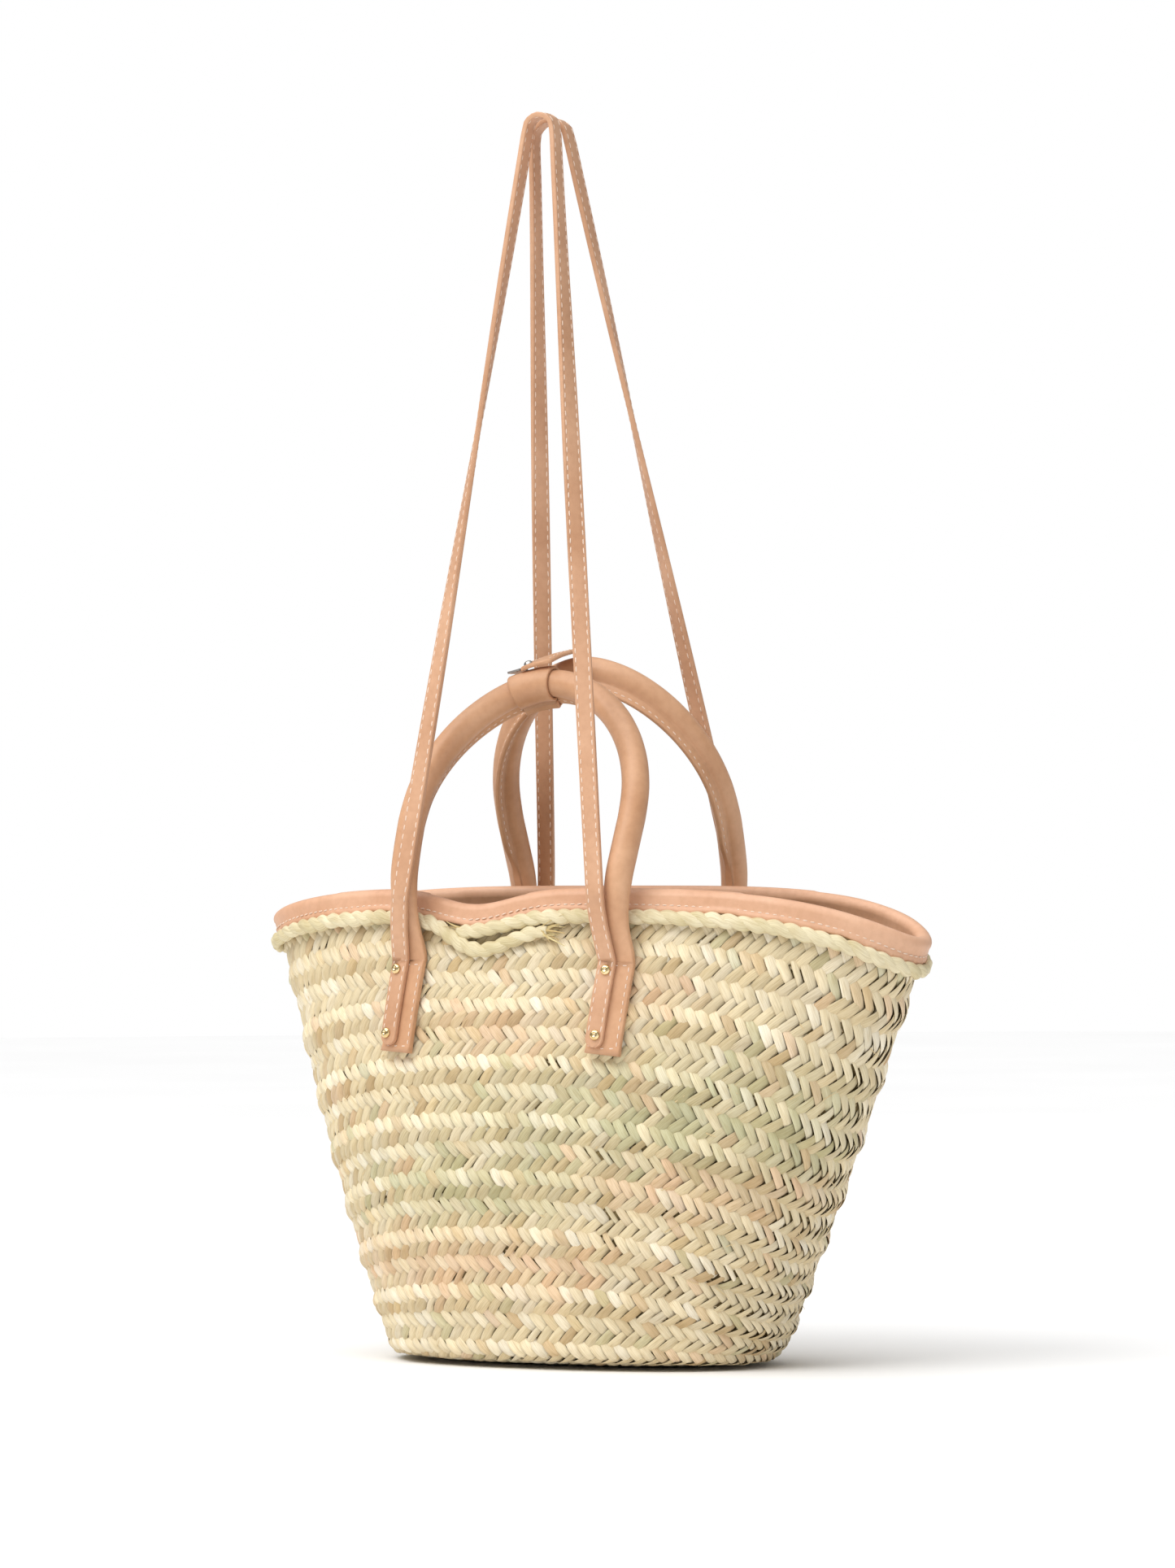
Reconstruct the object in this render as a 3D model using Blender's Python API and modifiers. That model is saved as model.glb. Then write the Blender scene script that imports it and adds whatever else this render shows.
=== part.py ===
"""Woven market basket: palm-braid body, leather rim binding, two rolled handles, two shoulder straps.

Metres, +Z up. The origin is under the middle of the handles, on the surface that the basket stands on.
+X runs along the basket's long side, which reaches further to the right of the handles than to the
left, and the front is the -Y side. The back handle and strap are the front ones turned half a turn.
"""

import math

import bmesh
import bpy
from mathutils import Matrix, Vector

# Basket body: outer reach from the origin at the base and at the rim, with a swell between them
HEIGHT = 0.2745
BASE_LEFT = 0.1125
BASE_RIGHT = 0.129
BASE_HALF_DEPTH = 0.070
RIM_LEFT = 0.2015
RIM_RIGHT = 0.2395
RIM_HALF_DEPTH = 0.061
SWELL_LENGTH = 0.001
SWELL_DEPTH = 0.022
BASE_SQUARENESS = 2.3
RIM_SQUARENESS = 2.0
BASE_CORNER = 0.012
WALL = 0.005

# Rim line: it droops towards both ends, and the front sags between the handles
LEFT_DROOP = 0.017
RIGHT_DROOP = 0.030
DROOP_POWER = 4
FRONT_SAG = 0.009
SAG_CENTRE_X = -0.030
SAG_WIDTH = 0.032

# Leather binding folded over the rim, and the palm rope laid below it
BINDING_DROP = 0.0105
BINDING_LEATHER = 0.0016
BINDING_BEAD = 0.0016
BINDING_CLEARANCE = 0.0006
ROPE_RADIUS = 0.003
ROPE_START_X = -0.038
ROPE_TAIL_DIP = 0.012
ROPE_TAIL_END_X = 0.022
ROPE_TAIL_RISE = 0.004

# Handle ends, riveted flat to the wall
ANCHOR_X = 0.0685
TAB_TOP = HEIGHT - 0.039
TAB_LENGTH = 0.053
TAB_WIDTH = 0.021
TAB_THICKNESS = 0.0045
TAB_SLANT = 0.0045
PATCH_MARGIN = 0.003
PATCH_THICKNESS = 0.0015

# Rivets through the strap end, the tab, the wall and the patch behind it
RIVET_RADIUS = 0.0015
RIVET_HEAD_RADIUS = 0.003
RIVET_HEAD_HEIGHT = 0.0013
RIVET_TOP_INSET = 0.0065
RIVET_BOTTOM_INSET = 0.010
BURR_RADIUS = 0.0034
BURR_THICKNESS = 0.001

# Rolled handles: a leather tube with a sewn flange over a rope core
HANDLE_DIAMETER = 0.016
HANDLE_LEATHER = 0.0015
CORE_CLEARANCE = 0.0008
HANDLE_FLANGE = 0.0055
FLANGE_THICKNESS = 0.003
ARCH_START_Z = HEIGHT + 0.0455
FRONT_APEX_Z = HEIGHT + 0.122
BACK_APEX_Z = HEIGHT + 0.1305
LEG_SPREAD = 0.004
ARCH_POWER = 1.12
APEX_Y = 0.0195
LEAN_POWER = 1.22
FLANGE_TURN = math.radians(55)

# Shoulder straps: each runs from one tab, over the apex, to the other tab of its side
STRAP_WIDTH = 0.010
STRAP_THICKNESS = 0.003
STRAP_OFFSET_X = -0.0045
STRAP_RIM_INSET = (0.0032, 0.0084)
STRAP_FOLD_RADIUS = (0.009, 0.0115)
FRONT_APEX = (-0.0127, HEIGHT + 0.456)
BACK_APEX = (-0.0137, HEIGHT + 0.454)
STRAP_SPACING = 0.0075
HINGE_PROUD = 0.0006
STRAP_STANDOFF = 0.0018

# Keeper on the front handle: a sleeve, a flap that closes over the back handle, and its fittings
KEEPER_X = -0.012
SLEEVE_LENGTH = 0.025
SLEEVE_LEATHER = 0.0016
SLEEVE_CLEARANCE = 0.0007
FLAP_WIDTH = 0.022
FLAP_LENGTH = 0.046
FLAP_THICKNESS = 0.0025
FLAP_SHIFT = 0.006
FLAP_RISE = math.radians(10)
FLAP_HINGE_BACK = 0.007
STUD_INSET = 0.0048
PLATE_SIZE = (0.0085, 0.010, 0.0012)

# Clearances between neighbours
GAP = 0.0003
SNUG = 0.0005
HOLE_CLEARANCE = 0.0004

# Mesh fineness
AROUND = 48
WALL_ROWS = 12
CORNER_ROWS = 3
HANDLE_SIDES = 12
ROUND_SIDES = 10

PALM = ((0.80, 0.73, 0.50), 0.75, 0.0)
PALM_ROPE = ((0.70, 0.70, 0.48), 0.75, 0.0)
LEATHER = ((0.72, 0.46, 0.30), 0.50, 0.0)
BINDING_HIDE = ((0.76, 0.50, 0.34), 0.50, 0.0)
CORE_ROPE = ((0.62, 0.55, 0.42), 0.90, 0.0)
GOLD = ((0.80, 0.66, 0.38), 0.30, 1.0)
STEEL = ((0.60, 0.60, 0.60), 0.30, 1.0)

FRONT, BACK = -1, 1


# ---------------------------------------------------------------- scene helpers

def clear_scene():
    for item in list(bpy.data.objects):
        bpy.data.objects.remove(item, do_unlink=True)


def new_collection(name):
    collection = bpy.data.collections.new(name)
    bpy.context.scene.collection.children.link(collection)
    return collection


def material(name, look):
    """A Principled material with the given colour, roughness and metallic value."""
    colour, roughness, metallic = look
    made = bpy.data.materials.get(name)
    if made is None:
        made = bpy.data.materials.new(name)
        made.use_nodes = True
        shader = made.node_tree.nodes["Principled BSDF"]
        shader.inputs["Base Color"].default_value = (*colour, 1.0)
        shader.inputs["Roughness"].default_value = roughness
        shader.inputs["Metallic"].default_value = metallic
    return made


def add_mesh(name, points, faces, look, parent=None, smooth=True):
    """A mesh object from world points, with its faces turned outwards."""
    origin = parent.location if parent else Vector()
    mesh = bpy.data.meshes.new(name)
    mesh.from_pydata([Vector(point) - origin for point in points], [], faces)
    shell = bmesh.new()
    shell.from_mesh(mesh)
    bmesh.ops.recalc_face_normals(shell, faces=shell.faces)
    shell.to_mesh(mesh)
    shell.free()
    if smooth:
        mesh.shade_smooth()
        mesh.set_sharp_from_angle(angle=math.radians(40))
    made = bpy.data.objects.new(name, mesh)
    made.data.materials.append(material(look_name(look), look))
    made.parent = parent
    PARTS.objects.link(made)
    return made


def look_name(look):
    names = {id(PALM): "palm", id(PALM_ROPE): "palm_rope", id(LEATHER): "leather", id(GOLD): "gold",
             id(BINDING_HIDE): "binding_leather", id(CORE_ROPE): "core_rope", id(STEEL): "steel"}
    return names[id(look)]


def add_pivot(name, location):
    pivot = bpy.data.objects.new(name, None)
    pivot.location = location
    PARTS.objects.link(pivot)
    return pivot


def cut(target, cutter):
    boolean = target.modifiers.new("holes", "BOOLEAN")
    boolean.operation = "DIFFERENCE"
    boolean.object = cutter


def joined_rings(rings, closed=False):
    """Points and faces of a surface through rings of equal length. Ends stay open unless closed."""
    points = [point for ring in rings for point in ring]
    count = len(rings[0])
    steps = len(rings) if closed else len(rings) - 1
    faces = []
    for i in range(steps):
        here, there = i * count, (i + 1) % len(rings) * count
        for j in range(count):
            k = (j + 1) % count
            faces.append((here + j, here + k, there + k, there + j))
    return points, faces


def solid_of(rings):
    """A capped body through the rings."""
    points, faces = joined_rings(rings)
    count = len(rings[0])
    faces.append(tuple(range(count)))
    faces.append(tuple(range(len(points) - count, len(points))))
    return points, faces


def tube_of(outer, inner):
    """An open-ended hollow body: the outer rings, then the inner ones back to the start."""
    return joined_rings(outer + inner[::-1], closed=True)


def smooth_step(value):
    value = min(max(value, 0.0), 1.0)
    return value * value * (3 - 2 * value)


def mix(low, high, share):
    return low + (high - low) * share


def curve_through(stops, per_span):
    """Points on a smooth curve that passes through every stop."""
    ends = [stops[0] * 2 - stops[1], *stops, stops[-1] * 2 - stops[-2]]
    points = []
    for before, start, end, after in zip(ends, ends[1:], ends[2:], ends[3:]):
        for i in range(per_span):
            t = i / per_span
            points.append(0.5 * (2 * start + (end - before) * t
                                 + (2 * before - 5 * start + 4 * end - after) * t ** 2
                                 + (3 * start - before - 3 * end + after) * t ** 3))
    return points + [stops[-1]]


# ---------------------------------------------------------------- the basket's wall

def wall_sizes(z, x):
    """Outer reach on x's side, half depth and squareness at height z."""
    share = z / HEIGHT
    swell = math.sin(math.pi * min(share, 1.0))
    reach = mix(BASE_LEFT, RIM_LEFT, share) if x < 0 else mix(BASE_RIGHT, RIM_RIGHT, share)
    return (reach + SWELL_LENGTH * swell,
            mix(BASE_HALF_DEPTH, RIM_HALF_DEPTH, share) + SWELL_DEPTH * swell,
            mix(BASE_SQUARENESS, RIM_SQUARENESS, min(share, 1.0)))


def wall_point(angle, z, inset=0.0):
    across, deep = math.cos(angle), math.sin(angle)
    half_length, half_depth, squareness = wall_sizes(z, across)
    power = 2 / squareness
    return Vector(((half_length - inset) * math.copysign(abs(across) ** power, across),
                   (half_depth - inset) * math.copysign(abs(deep) ** power, deep), z))


def wall_normal(point):
    """The outward normal of the wall through point."""
    half_length, half_depth, n = wall_sizes(point.z, point.x)
    step = 0.001
    longer, deeper, _ = wall_sizes(point.z + step, point.x)
    x, y = abs(point.x) / half_length, abs(point.y) / half_depth
    slope_x = math.copysign(x ** (n - 1) / half_length, point.x)
    slope_y = math.copysign(y ** (n - 1) / half_depth, point.y)
    slope_z = -(x ** n * (longer - half_length) / half_length
                + y ** n * (deeper - half_depth) / half_depth) / step
    return Vector((slope_x, slope_y, slope_z)).normalized()


def off_wall(angle, z, offset):
    """A point at the given distance outside the wall."""
    point = wall_point(angle, z)
    return point + wall_normal(point) * offset


def side_point(x, z, side, offset=0.0):
    """The point at x and z that lies offset outside the front or back wall."""
    half_length, half_depth, n = wall_sizes(z, x)
    y = side * half_depth * (1 - min(abs(x) / half_length, 1.0) ** n) ** (1 / n)
    point = Vector((x, y, z))
    point.y += side * offset / abs(wall_normal(point).y)
    return point


def rim_height(angle):
    """Height of the wall's top edge."""
    along = math.cos(angle)
    droop = (RIGHT_DROOP if along > 0 else LEFT_DROOP) * abs(along) ** DROOP_POWER
    sag = 0.0
    if math.sin(angle) < 0:
        x = along * (RIM_RIGHT if along > 0 else RIM_LEFT)
        sag = FRONT_SAG * math.exp(-((x - SAG_CENTRE_X) / SAG_WIDTH) ** 2)
    return HEIGHT - droop - sag


def ring_angles():
    return [2 * math.pi * i / AROUND for i in range(AROUND)]


def make_body():
    """An open surface, base and wall, thickened inwards."""
    rings = []
    for share in (0.35, 0.72):
        rings.append([wall_point(a, 0.0, BASE_CORNER) * share for a in ring_angles()])
    for i in range(CORNER_ROWS):
        turn = math.pi / 2 * i / CORNER_ROWS
        z, inset = BASE_CORNER * (1 - math.cos(turn)), BASE_CORNER * (1 - math.sin(turn))
        rings.append([wall_point(a, z, inset) for a in ring_angles()])
    for i in range(WALL_ROWS + 1):
        share = i / WALL_ROWS
        rings.append([wall_point(a, mix(BASE_CORNER, rim_height(a), share)) for a in ring_angles()])
    points, faces = joined_rings(rings)
    points.append(Vector((0, 0, 0)))
    middle = len(points) - 1
    faces += [(middle, (j + 1) % AROUND, j) for j in range(AROUND)]
    body = add_mesh("woven_body", points, faces, PALM)
    shell = body.modifiers.new("wall", "SOLIDIFY")
    shell.thickness = WALL
    shell.offset = -1
    shell.use_even_offset = True
    return body


def make_binding():
    """Leather folded over the rim: a hooked section carried round the basket."""
    outside, inside = BINDING_CLEARANCE, -WALL - BINDING_CLEARANCE
    leather = BINDING_LEATHER
    bead = BINDING_BEAD
    top = SNUG + leather
    section = [(outside + leather, -BINDING_DROP), (outside + leather, -0.004),
               (outside + leather + bead, -0.002), (outside + leather + bead * 0.6, top),
               (outside - 0.001, top + bead), (inside + 0.001, top + bead),
               (inside - leather - bead * 0.6, top), (inside - leather - bead, -0.002),
               (inside - leather, -0.004), (inside - leather, -BINDING_DROP),
               (inside, -BINDING_DROP), (inside, SNUG), (outside, SNUG), (outside, -BINDING_DROP)]
    rings = [[off_wall(a, rim_height(a) + rise, offset) for offset, rise in section]
             for a in ring_angles()]
    points, faces = joined_rings(rings, closed=True)
    add_mesh("rim_binding", points, faces, BINDING_HIDE)


def rope_drop():
    """How far the rope's centre lies below the rim."""
    return BINDING_DROP + SNUG + ROPE_RADIUS


def front_angle(x):
    """The wall angle at x on the front, near the rim."""
    return -math.acos(max(-1.0, min(1.0, x / (RIM_RIGHT if x > 0 else RIM_LEFT))))


def make_rope():
    """One palm rope once round the basket under the binding, whose end dips below its start."""
    start = front_angle(ROPE_START_X)
    leg_edge = front_angle(-ANCHOR_X + TAB_WIDTH / 2)
    finish = front_angle(ROPE_TAIL_END_X) + 2 * math.pi
    dip_from = leg_edge + 2 * math.pi
    low = mix(dip_from, finish, 0.55)
    points = []
    for i in range(AROUND + 14):
        angle = mix(start, finish, i / (AROUND + 13))
        dip = ROPE_TAIL_DIP * smooth_step((angle - dip_from) / (low - dip_from))
        dip -= ROPE_TAIL_RISE * smooth_step((angle - low) / (finish - low))
        z = rim_height(angle) - rope_drop() - dip
        points.append(off_wall(angle, z, ROPE_RADIUS + SNUG))
    add_wire("edge_braid", points, ROPE_RADIUS, PALM_ROPE, fineness=1)


def add_wire(name, points, radius, look, parent=None, fineness=2):
    """A round, capped tube as a poly curve."""
    origin = parent.location if parent else Vector()
    data = bpy.data.curves.new(name, "CURVE")
    data.dimensions = "3D"
    data.bevel_depth = radius
    data.bevel_resolution = fineness
    data.use_fill_caps = True
    spline = data.splines.new("POLY")
    spline.points.add(len(points) - 1)
    for knot, point in zip(spline.points, points):
        knot.co = (*(point - origin), 1.0)
    data.materials.append(material(look_name(look), look))
    made = bpy.data.objects.new(name, data)
    made.parent = parent
    PARTS.objects.link(made)
    return made


# ---------------------------------------------------------------- anchors on the wall

def tab_x(anchor_x, z, side):
    """The tab's centre line, which slants the same way at both ends of a handle."""
    return anchor_x + side * TAB_SLANT * (TAB_TOP - z) / TAB_LENGTH


def strap_x(anchor_x, side):
    """Where a strap meets the top of its tab. The back is the front turned half a turn."""
    return anchor_x - side * STRAP_OFFSET_X


def add_wall_plate(name, side, centre_x, half_width, z_top, z_bottom, near, far, look, rows=6):
    """A plate that follows the wall, from near to far outside it."""
    outer, inner = [], []
    for i in range(rows + 1):
        z = mix(z_top, z_bottom, i / rows)
        half = half_width(z)
        line = [centre_x(z) + half * part for part in (-1, 0, 1)]
        outer.append([side_point(x, z, side, far) for x in line])
        inner.append([side_point(x, z, side, near) for x in line])
    rings = [front + back[::-1] for front, back in zip(outer, inner)]
    points, faces = solid_of(rings)
    return add_mesh(name, points, faces, look, smooth=False)


def turned(name, profile, point, axis, look, parent=None, ring=False):
    """A turned piece from an (r, z) profile, standing at point along axis. A ring's profile is a loop."""
    mesh = bpy.data.meshes.new(name)
    edges = [(i, i + 1) for i in range(len(profile) - 1)]
    if ring:
        edges.append((len(profile) - 1, 0))
    mesh.from_pydata([(r, 0, z) for r, z in profile], edges, [])
    made = bpy.data.objects.new(name, mesh)
    made.data.materials.append(material(look_name(look), look))
    PARTS.objects.link(made)
    made.rotation_euler = Vector((0, 0, 1)).rotation_difference(axis).to_euler()
    made.location = point - (parent.location if parent else Vector())
    made.parent = parent
    screw = made.modifiers.new("turn", "SCREW")
    screw.steps = screw.render_steps = ROUND_SIDES
    screw.use_merge_vertices = True
    screw.merge_threshold = 0.00001
    screw.use_smooth_shade = True
    return made


def rivet_profile(grip):
    """A domed head above z = 0 and a post that reaches grip below it."""
    head = [(0, RIVET_HEAD_HEIGHT), (RIVET_HEAD_RADIUS * 0.6, RIVET_HEAD_HEIGHT * 0.78),
            (RIVET_HEAD_RADIUS * 0.92, RIVET_HEAD_HEIGHT * 0.35), (RIVET_HEAD_RADIUS, 0)]
    return head + [(RIVET_RADIUS, 0), (RIVET_RADIUS, -grip), (0, -grip)]


def burr_profile():
    """A washer's section, as a loop."""
    bore = RIVET_RADIUS + HOLE_CLEARANCE / 2
    return [(bore, 0), (BURR_RADIUS, 0), (BURR_RADIUS, -BURR_THICKNESS), (bore, -BURR_THICKNESS)]


def hole_cutter(name, places):
    """Straight pins through every layer at the given points and directions."""
    pins = bmesh.new()
    for point, axis in places:
        turn = Vector((0, 0, 1)).rotation_difference(axis).to_matrix().to_4x4()
        bmesh.ops.create_cone(pins, cap_ends=True, segments=ROUND_SIDES, depth=0.05,
                              radius1=RIVET_RADIUS + HOLE_CLEARANCE,
                              radius2=RIVET_RADIUS + HOLE_CLEARANCE,
                              matrix=Matrix.Translation(point) @ turn)
    mesh = bpy.data.meshes.new(name)
    pins.to_mesh(mesh)
    pins.free()
    cutter = bpy.data.objects.new(name, mesh)
    cutter.hide_render = True
    cutter.display_type = "WIRE"
    CUTTERS.objects.link(cutter)
    return cutter


def layer_offsets():
    """Distances from the wall's outside to the tab, the strap end and the strap's outer face."""
    tab_near = SNUG
    tab_far = tab_near + TAB_THICKNESS
    strap_near = tab_far + GAP
    return tab_near, tab_far, strap_near, strap_near + STRAP_THICKNESS


def make_anchor(label, side, anchor_x, body):
    """One riveted anchor: handle tab, strap end, backing patch, two rivets and their burrs."""
    tab_near, tab_far, strap_near, strap_far = layer_offsets()
    bottom = TAB_TOP - TAB_LENGTH
    top = TAB_TOP - GAP
    rivets = {"upper": TAB_TOP - RIVET_TOP_INSET, "lower": bottom + RIVET_BOTTOM_INSET}
    strap_tip = rivets["lower"] - STRAP_WIDTH / 2

    def tab_centre(z):
        return tab_x(anchor_x, z, side)

    def strap_centre(z):
        return tab_centre(z) + strap_x(0, side)

    def strap_half(z):
        rise = min(1.0, (z - strap_tip) / (STRAP_WIDTH / 2))
        return STRAP_WIDTH / 2 * max(0.45, math.sqrt(max(0.0, 1 - (1 - rise) ** 2)))

    places = {}
    for level, z in rivets.items():
        foot = side_point(strap_centre(z), z, side)
        places[level] = (foot, wall_normal(foot))
    cutter = hole_cutter(label + "_holes", places.values())
    tab = add_wall_plate(label + "_tab", side, tab_centre, lambda z: TAB_WIDTH / 2, top, bottom,
                         tab_near, tab_far, LEATHER)
    strap_end = add_wall_plate(label + "_strap_end", side, strap_centre, strap_half, top, strap_tip,
                               strap_near, strap_far, LEATHER, rows=9)
    patch = add_wall_plate(label + "_backing_patch", side, tab_centre,
                           lambda z: TAB_WIDTH / 2 + PATCH_MARGIN, TAB_TOP, bottom - PATCH_MARGIN,
                           -WALL - SNUG, -WALL - SNUG - PATCH_THICKNESS, LEATHER)
    for layer in (body, tab, strap_end, patch):
        cut(layer, cutter)
    burr_top = -WALL - SNUG - PATCH_THICKNESS - SNUG
    grip = strap_far + SNUG - burr_top + BURR_THICKNESS + GAP
    for level, (foot, outward) in places.items():
        turned(f"{label}_{level}_rivet", rivet_profile(grip),
               foot + outward * (strap_far + SNUG), outward, GOLD)
        turned(f"{label}_{level}_burr", burr_profile(), foot + outward * burr_top, outward, GOLD,
               ring=True)


# ---------------------------------------------------------------- handles

def mean_reach(z, offset):
    """How far out, on average over the two anchors, a layer lies that is offset from the wall."""
    left, right = (side_point(x, z, BACK, offset).y for x in (-ANCHOR_X, ANCHOR_X))
    return (left + right) / 2


def skew():
    """The small angle between X and the line through the back's two anchors. The front's is opposite."""
    left, right = (side_point(x, TAB_TOP, BACK).y for x in (-ANCHOR_X, ANCHOR_X))
    return math.atan2(right - left, 2 * ANCHOR_X)


def hinge_point(side):
    """A point on the line about which a handle and its strap swing, just outside the strap's outer face."""
    return Vector((0, side * mean_reach(TAB_TOP, layer_offsets()[3] + HINGE_PROUD), TAB_TOP))


def leg_thickness(z):
    """The handle's thickness, from the flat tab to the full round."""
    return mix(TAB_THICKNESS, HANDLE_DIAMETER, smooth_step((z - TAB_TOP) / (HEIGHT + 0.020 - TAB_TOP)))


def leg_reach(z, apex_z):
    """How far out the handle's middle lies at height z, for a handle that starts at its tab."""
    start = mean_reach(TAB_TOP, SNUG + TAB_THICKNESS / 2)
    rope_z = HEIGHT - rope_drop()
    over_rope = mean_reach(rope_z, 2 * ROPE_RADIUS + 2 * SNUG)
    outermost = over_rope + leg_thickness(rope_z) / 2 + SNUG
    top = HEIGHT + 0.004
    if z < top:
        return mix(start, outermost, smooth_step((z - TAB_TOP) / (rope_z - TAB_TOP)))
    share = (z - top) / (apex_z - top)
    return mix(outermost, APEX_Y, share ** LEAN_POWER)


def leg_x(z):
    """How far from the middle a leg stands at height z: it spreads a little on its way up."""
    return ANCHOR_X + LEG_SPREAD * smooth_step((z - TAB_TOP) / (ARCH_START_Z - TAB_TOP))


def handle_line(side):
    """Centres along a handle in a front view, from its left tab over the arch to its right tab."""
    apex_z = FRONT_APEX_Z if side == FRONT else BACK_APEX_Z
    leg = [TAB_TOP + GAP]
    leg += [TAB_TOP + rise for rise in (0.005, 0.011, 0.017, 0.026, 0.038)]
    leg += [mix(leg[-1], ARCH_START_Z, i / 4) for i in range(1, 4)]
    arch = [math.pi * i / 16 for i in range(17)]
    heights = leg + [ARCH_START_Z + (apex_z - ARCH_START_Z) * math.sin(a) for a in arch] + leg[::-1]
    span = [leg_x(ARCH_START_Z) * abs(math.cos(a)) ** ARCH_POWER for a in arch]
    widths = [-leg_x(z) for z in leg] + [math.copysign(w, a - math.pi / 2) for w, a in zip(span, arch)]
    widths += [leg_x(z) for z in leg[::-1]]
    return [Vector((x, -leg_reach(z, apex_z), z)) for x, z in zip(widths, heights)]


def direction(line, i):
    """The direction along a line at its point i, upright where it leaves a tab."""
    along = line[min(i + 1, len(line) - 1)] - line[max(i - 1, 0)]
    if line[i].z < TAB_TOP + 2 * GAP:
        along = Vector((0, 0, along.z))
    return along.normalized()


def handle_frame(line, i):
    """Centre, sideways and inward directions of the handle's section at point i of its line."""
    along = direction(line, i)
    share = max(0.0, (line[i].z - HEIGHT) / (FRONT_APEX_Z - HEIGHT))
    turn = FLANGE_TURN * share
    inward = Vector((0, math.cos(turn), -math.sin(turn)))
    inward = (inward - along * inward.dot(along)).normalized()
    return line[i], inward.cross(along), inward


def handle_outline(z, grow, flange=True):
    """The handle's section at height z as (sideways, inward) pairs, grown by grow."""
    thickness = leg_thickness(z) / 2 + grow
    width = mix(TAB_WIDTH, HANDLE_DIAMETER, smooth_step((z - TAB_TOP) / 0.03)) / 2 + grow
    reach = HANDLE_FLANGE * smooth_step((z - HEIGHT - 0.012) / 0.022) if flange else 0.0
    half_flange = FLANGE_THICKNESS / 2 + grow
    corners = []
    for i in range(HANDLE_SIDES - 2):
        angle = math.radians(mix(112, 428, i / (HANDLE_SIDES - 3)))
        corners.append((width * math.cos(angle), thickness * math.sin(angle)))
    corners.append((half_flange, thickness * 0.985 + reach))
    corners.append((-half_flange, thickness * 0.985 + reach))
    return corners


def handle_rings(line, stations, grow, flange=True):
    rings = []
    for i in stations:
        centre, sideways, inward = handle_frame(line, i)
        rings.append([centre + sideways * u + inward * v
                      for u, v in handle_outline(centre.z, grow, flange)])
    return rings


def turned_to(side, points):
    """Points drawn for a front that lies square, turned to where they belong on that side."""
    turn = Matrix.Rotation(-skew() if side == FRONT else math.pi + skew(), 3, "Z")
    return [turn @ point for point in points]


def make_handle(label, side, pivot):
    line = handle_line(side)
    every = range(len(line))
    outer = handle_rings(line, every, 0.0)
    inner = handle_rings(line, every, -HANDLE_LEATHER, flange=False)
    points, faces = tube_of(outer, inner)
    add_mesh(label + "_cover", turned_to(side, points), faces, LEATHER, pivot)
    core_from = HEIGHT + 0.020
    core = [point for point in line if point.z > core_from]
    core_radius = HANDLE_DIAMETER / 2 - HANDLE_LEATHER - CORE_CLEARANCE
    add_wire(label + "_rope_core", turned_to(side, core), core_radius, CORE_ROPE, pivot)


# ---------------------------------------------------------------- keeper

def keeper_axes(line):
    """Middle, along, up and across directions at the keeper."""
    arch = [point for point in curve_through(line, 8) if point.z > ARCH_START_Z]
    i = min(range(1, len(arch) - 1), key=lambda j: abs(arch[j].x - KEEPER_X))
    along = arch[i + 1] - arch[i - 1]
    along = Vector((along.x, 0, along.z)).normalized()
    up = Vector((-along.z, 0, along.x))
    return turned_to(FRONT, [arch[i], along, up, Vector((0, 1, 0))])


def add_block(name, corner, edges, look, parent):
    """A plate from one corner and its three edge vectors."""
    a, b, c = edges
    low = [corner, corner + a, corner + a + b, corner + b]
    points, faces = solid_of([low, [point + c for point in low]])
    return add_mesh(name, points, faces, look, parent, smooth=False)


def sleeve_line(line):
    """Evenly spaced centres along the stretch of handle that the sleeve wraps."""
    fine = curve_through(line, 8)
    top = [p for p in fine if p.z > ARCH_START_Z]
    inside = [p for p in top if abs(p.x - KEEPER_X) <= SLEEVE_LENGTH / 2]
    step = (len(inside) - 1) / 6
    return [inside[round(step * i)] for i in range(7)]


def make_sleeve(line, pivot):
    around = sleeve_line(line)
    stations = range(len(around))
    outer = handle_rings(around, stations, SLEEVE_CLEARANCE + SLEEVE_LEATHER)
    inner = handle_rings(around, stations, SLEEVE_CLEARANCE)
    points, faces = tube_of(outer, inner)
    add_mesh("keeper_sleeve", turned_to(FRONT, points), faces, LEATHER, pivot)


def keeper_hinge(line):
    """The front edge of the flap, on top of the sleeve."""
    middle, along, up, across = keeper_axes(line)
    sleeve = HANDLE_DIAMETER / 2 + SLEEVE_CLEARANCE + SLEEVE_LEATHER
    rise = (sleeve + 2 * SNUG - FLAP_HINGE_BACK * math.sin(FLAP_RISE)) / math.cos(FLAP_RISE)
    return middle + along * FLAP_SHIFT + up * rise - across * FLAP_HINGE_BACK


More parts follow.
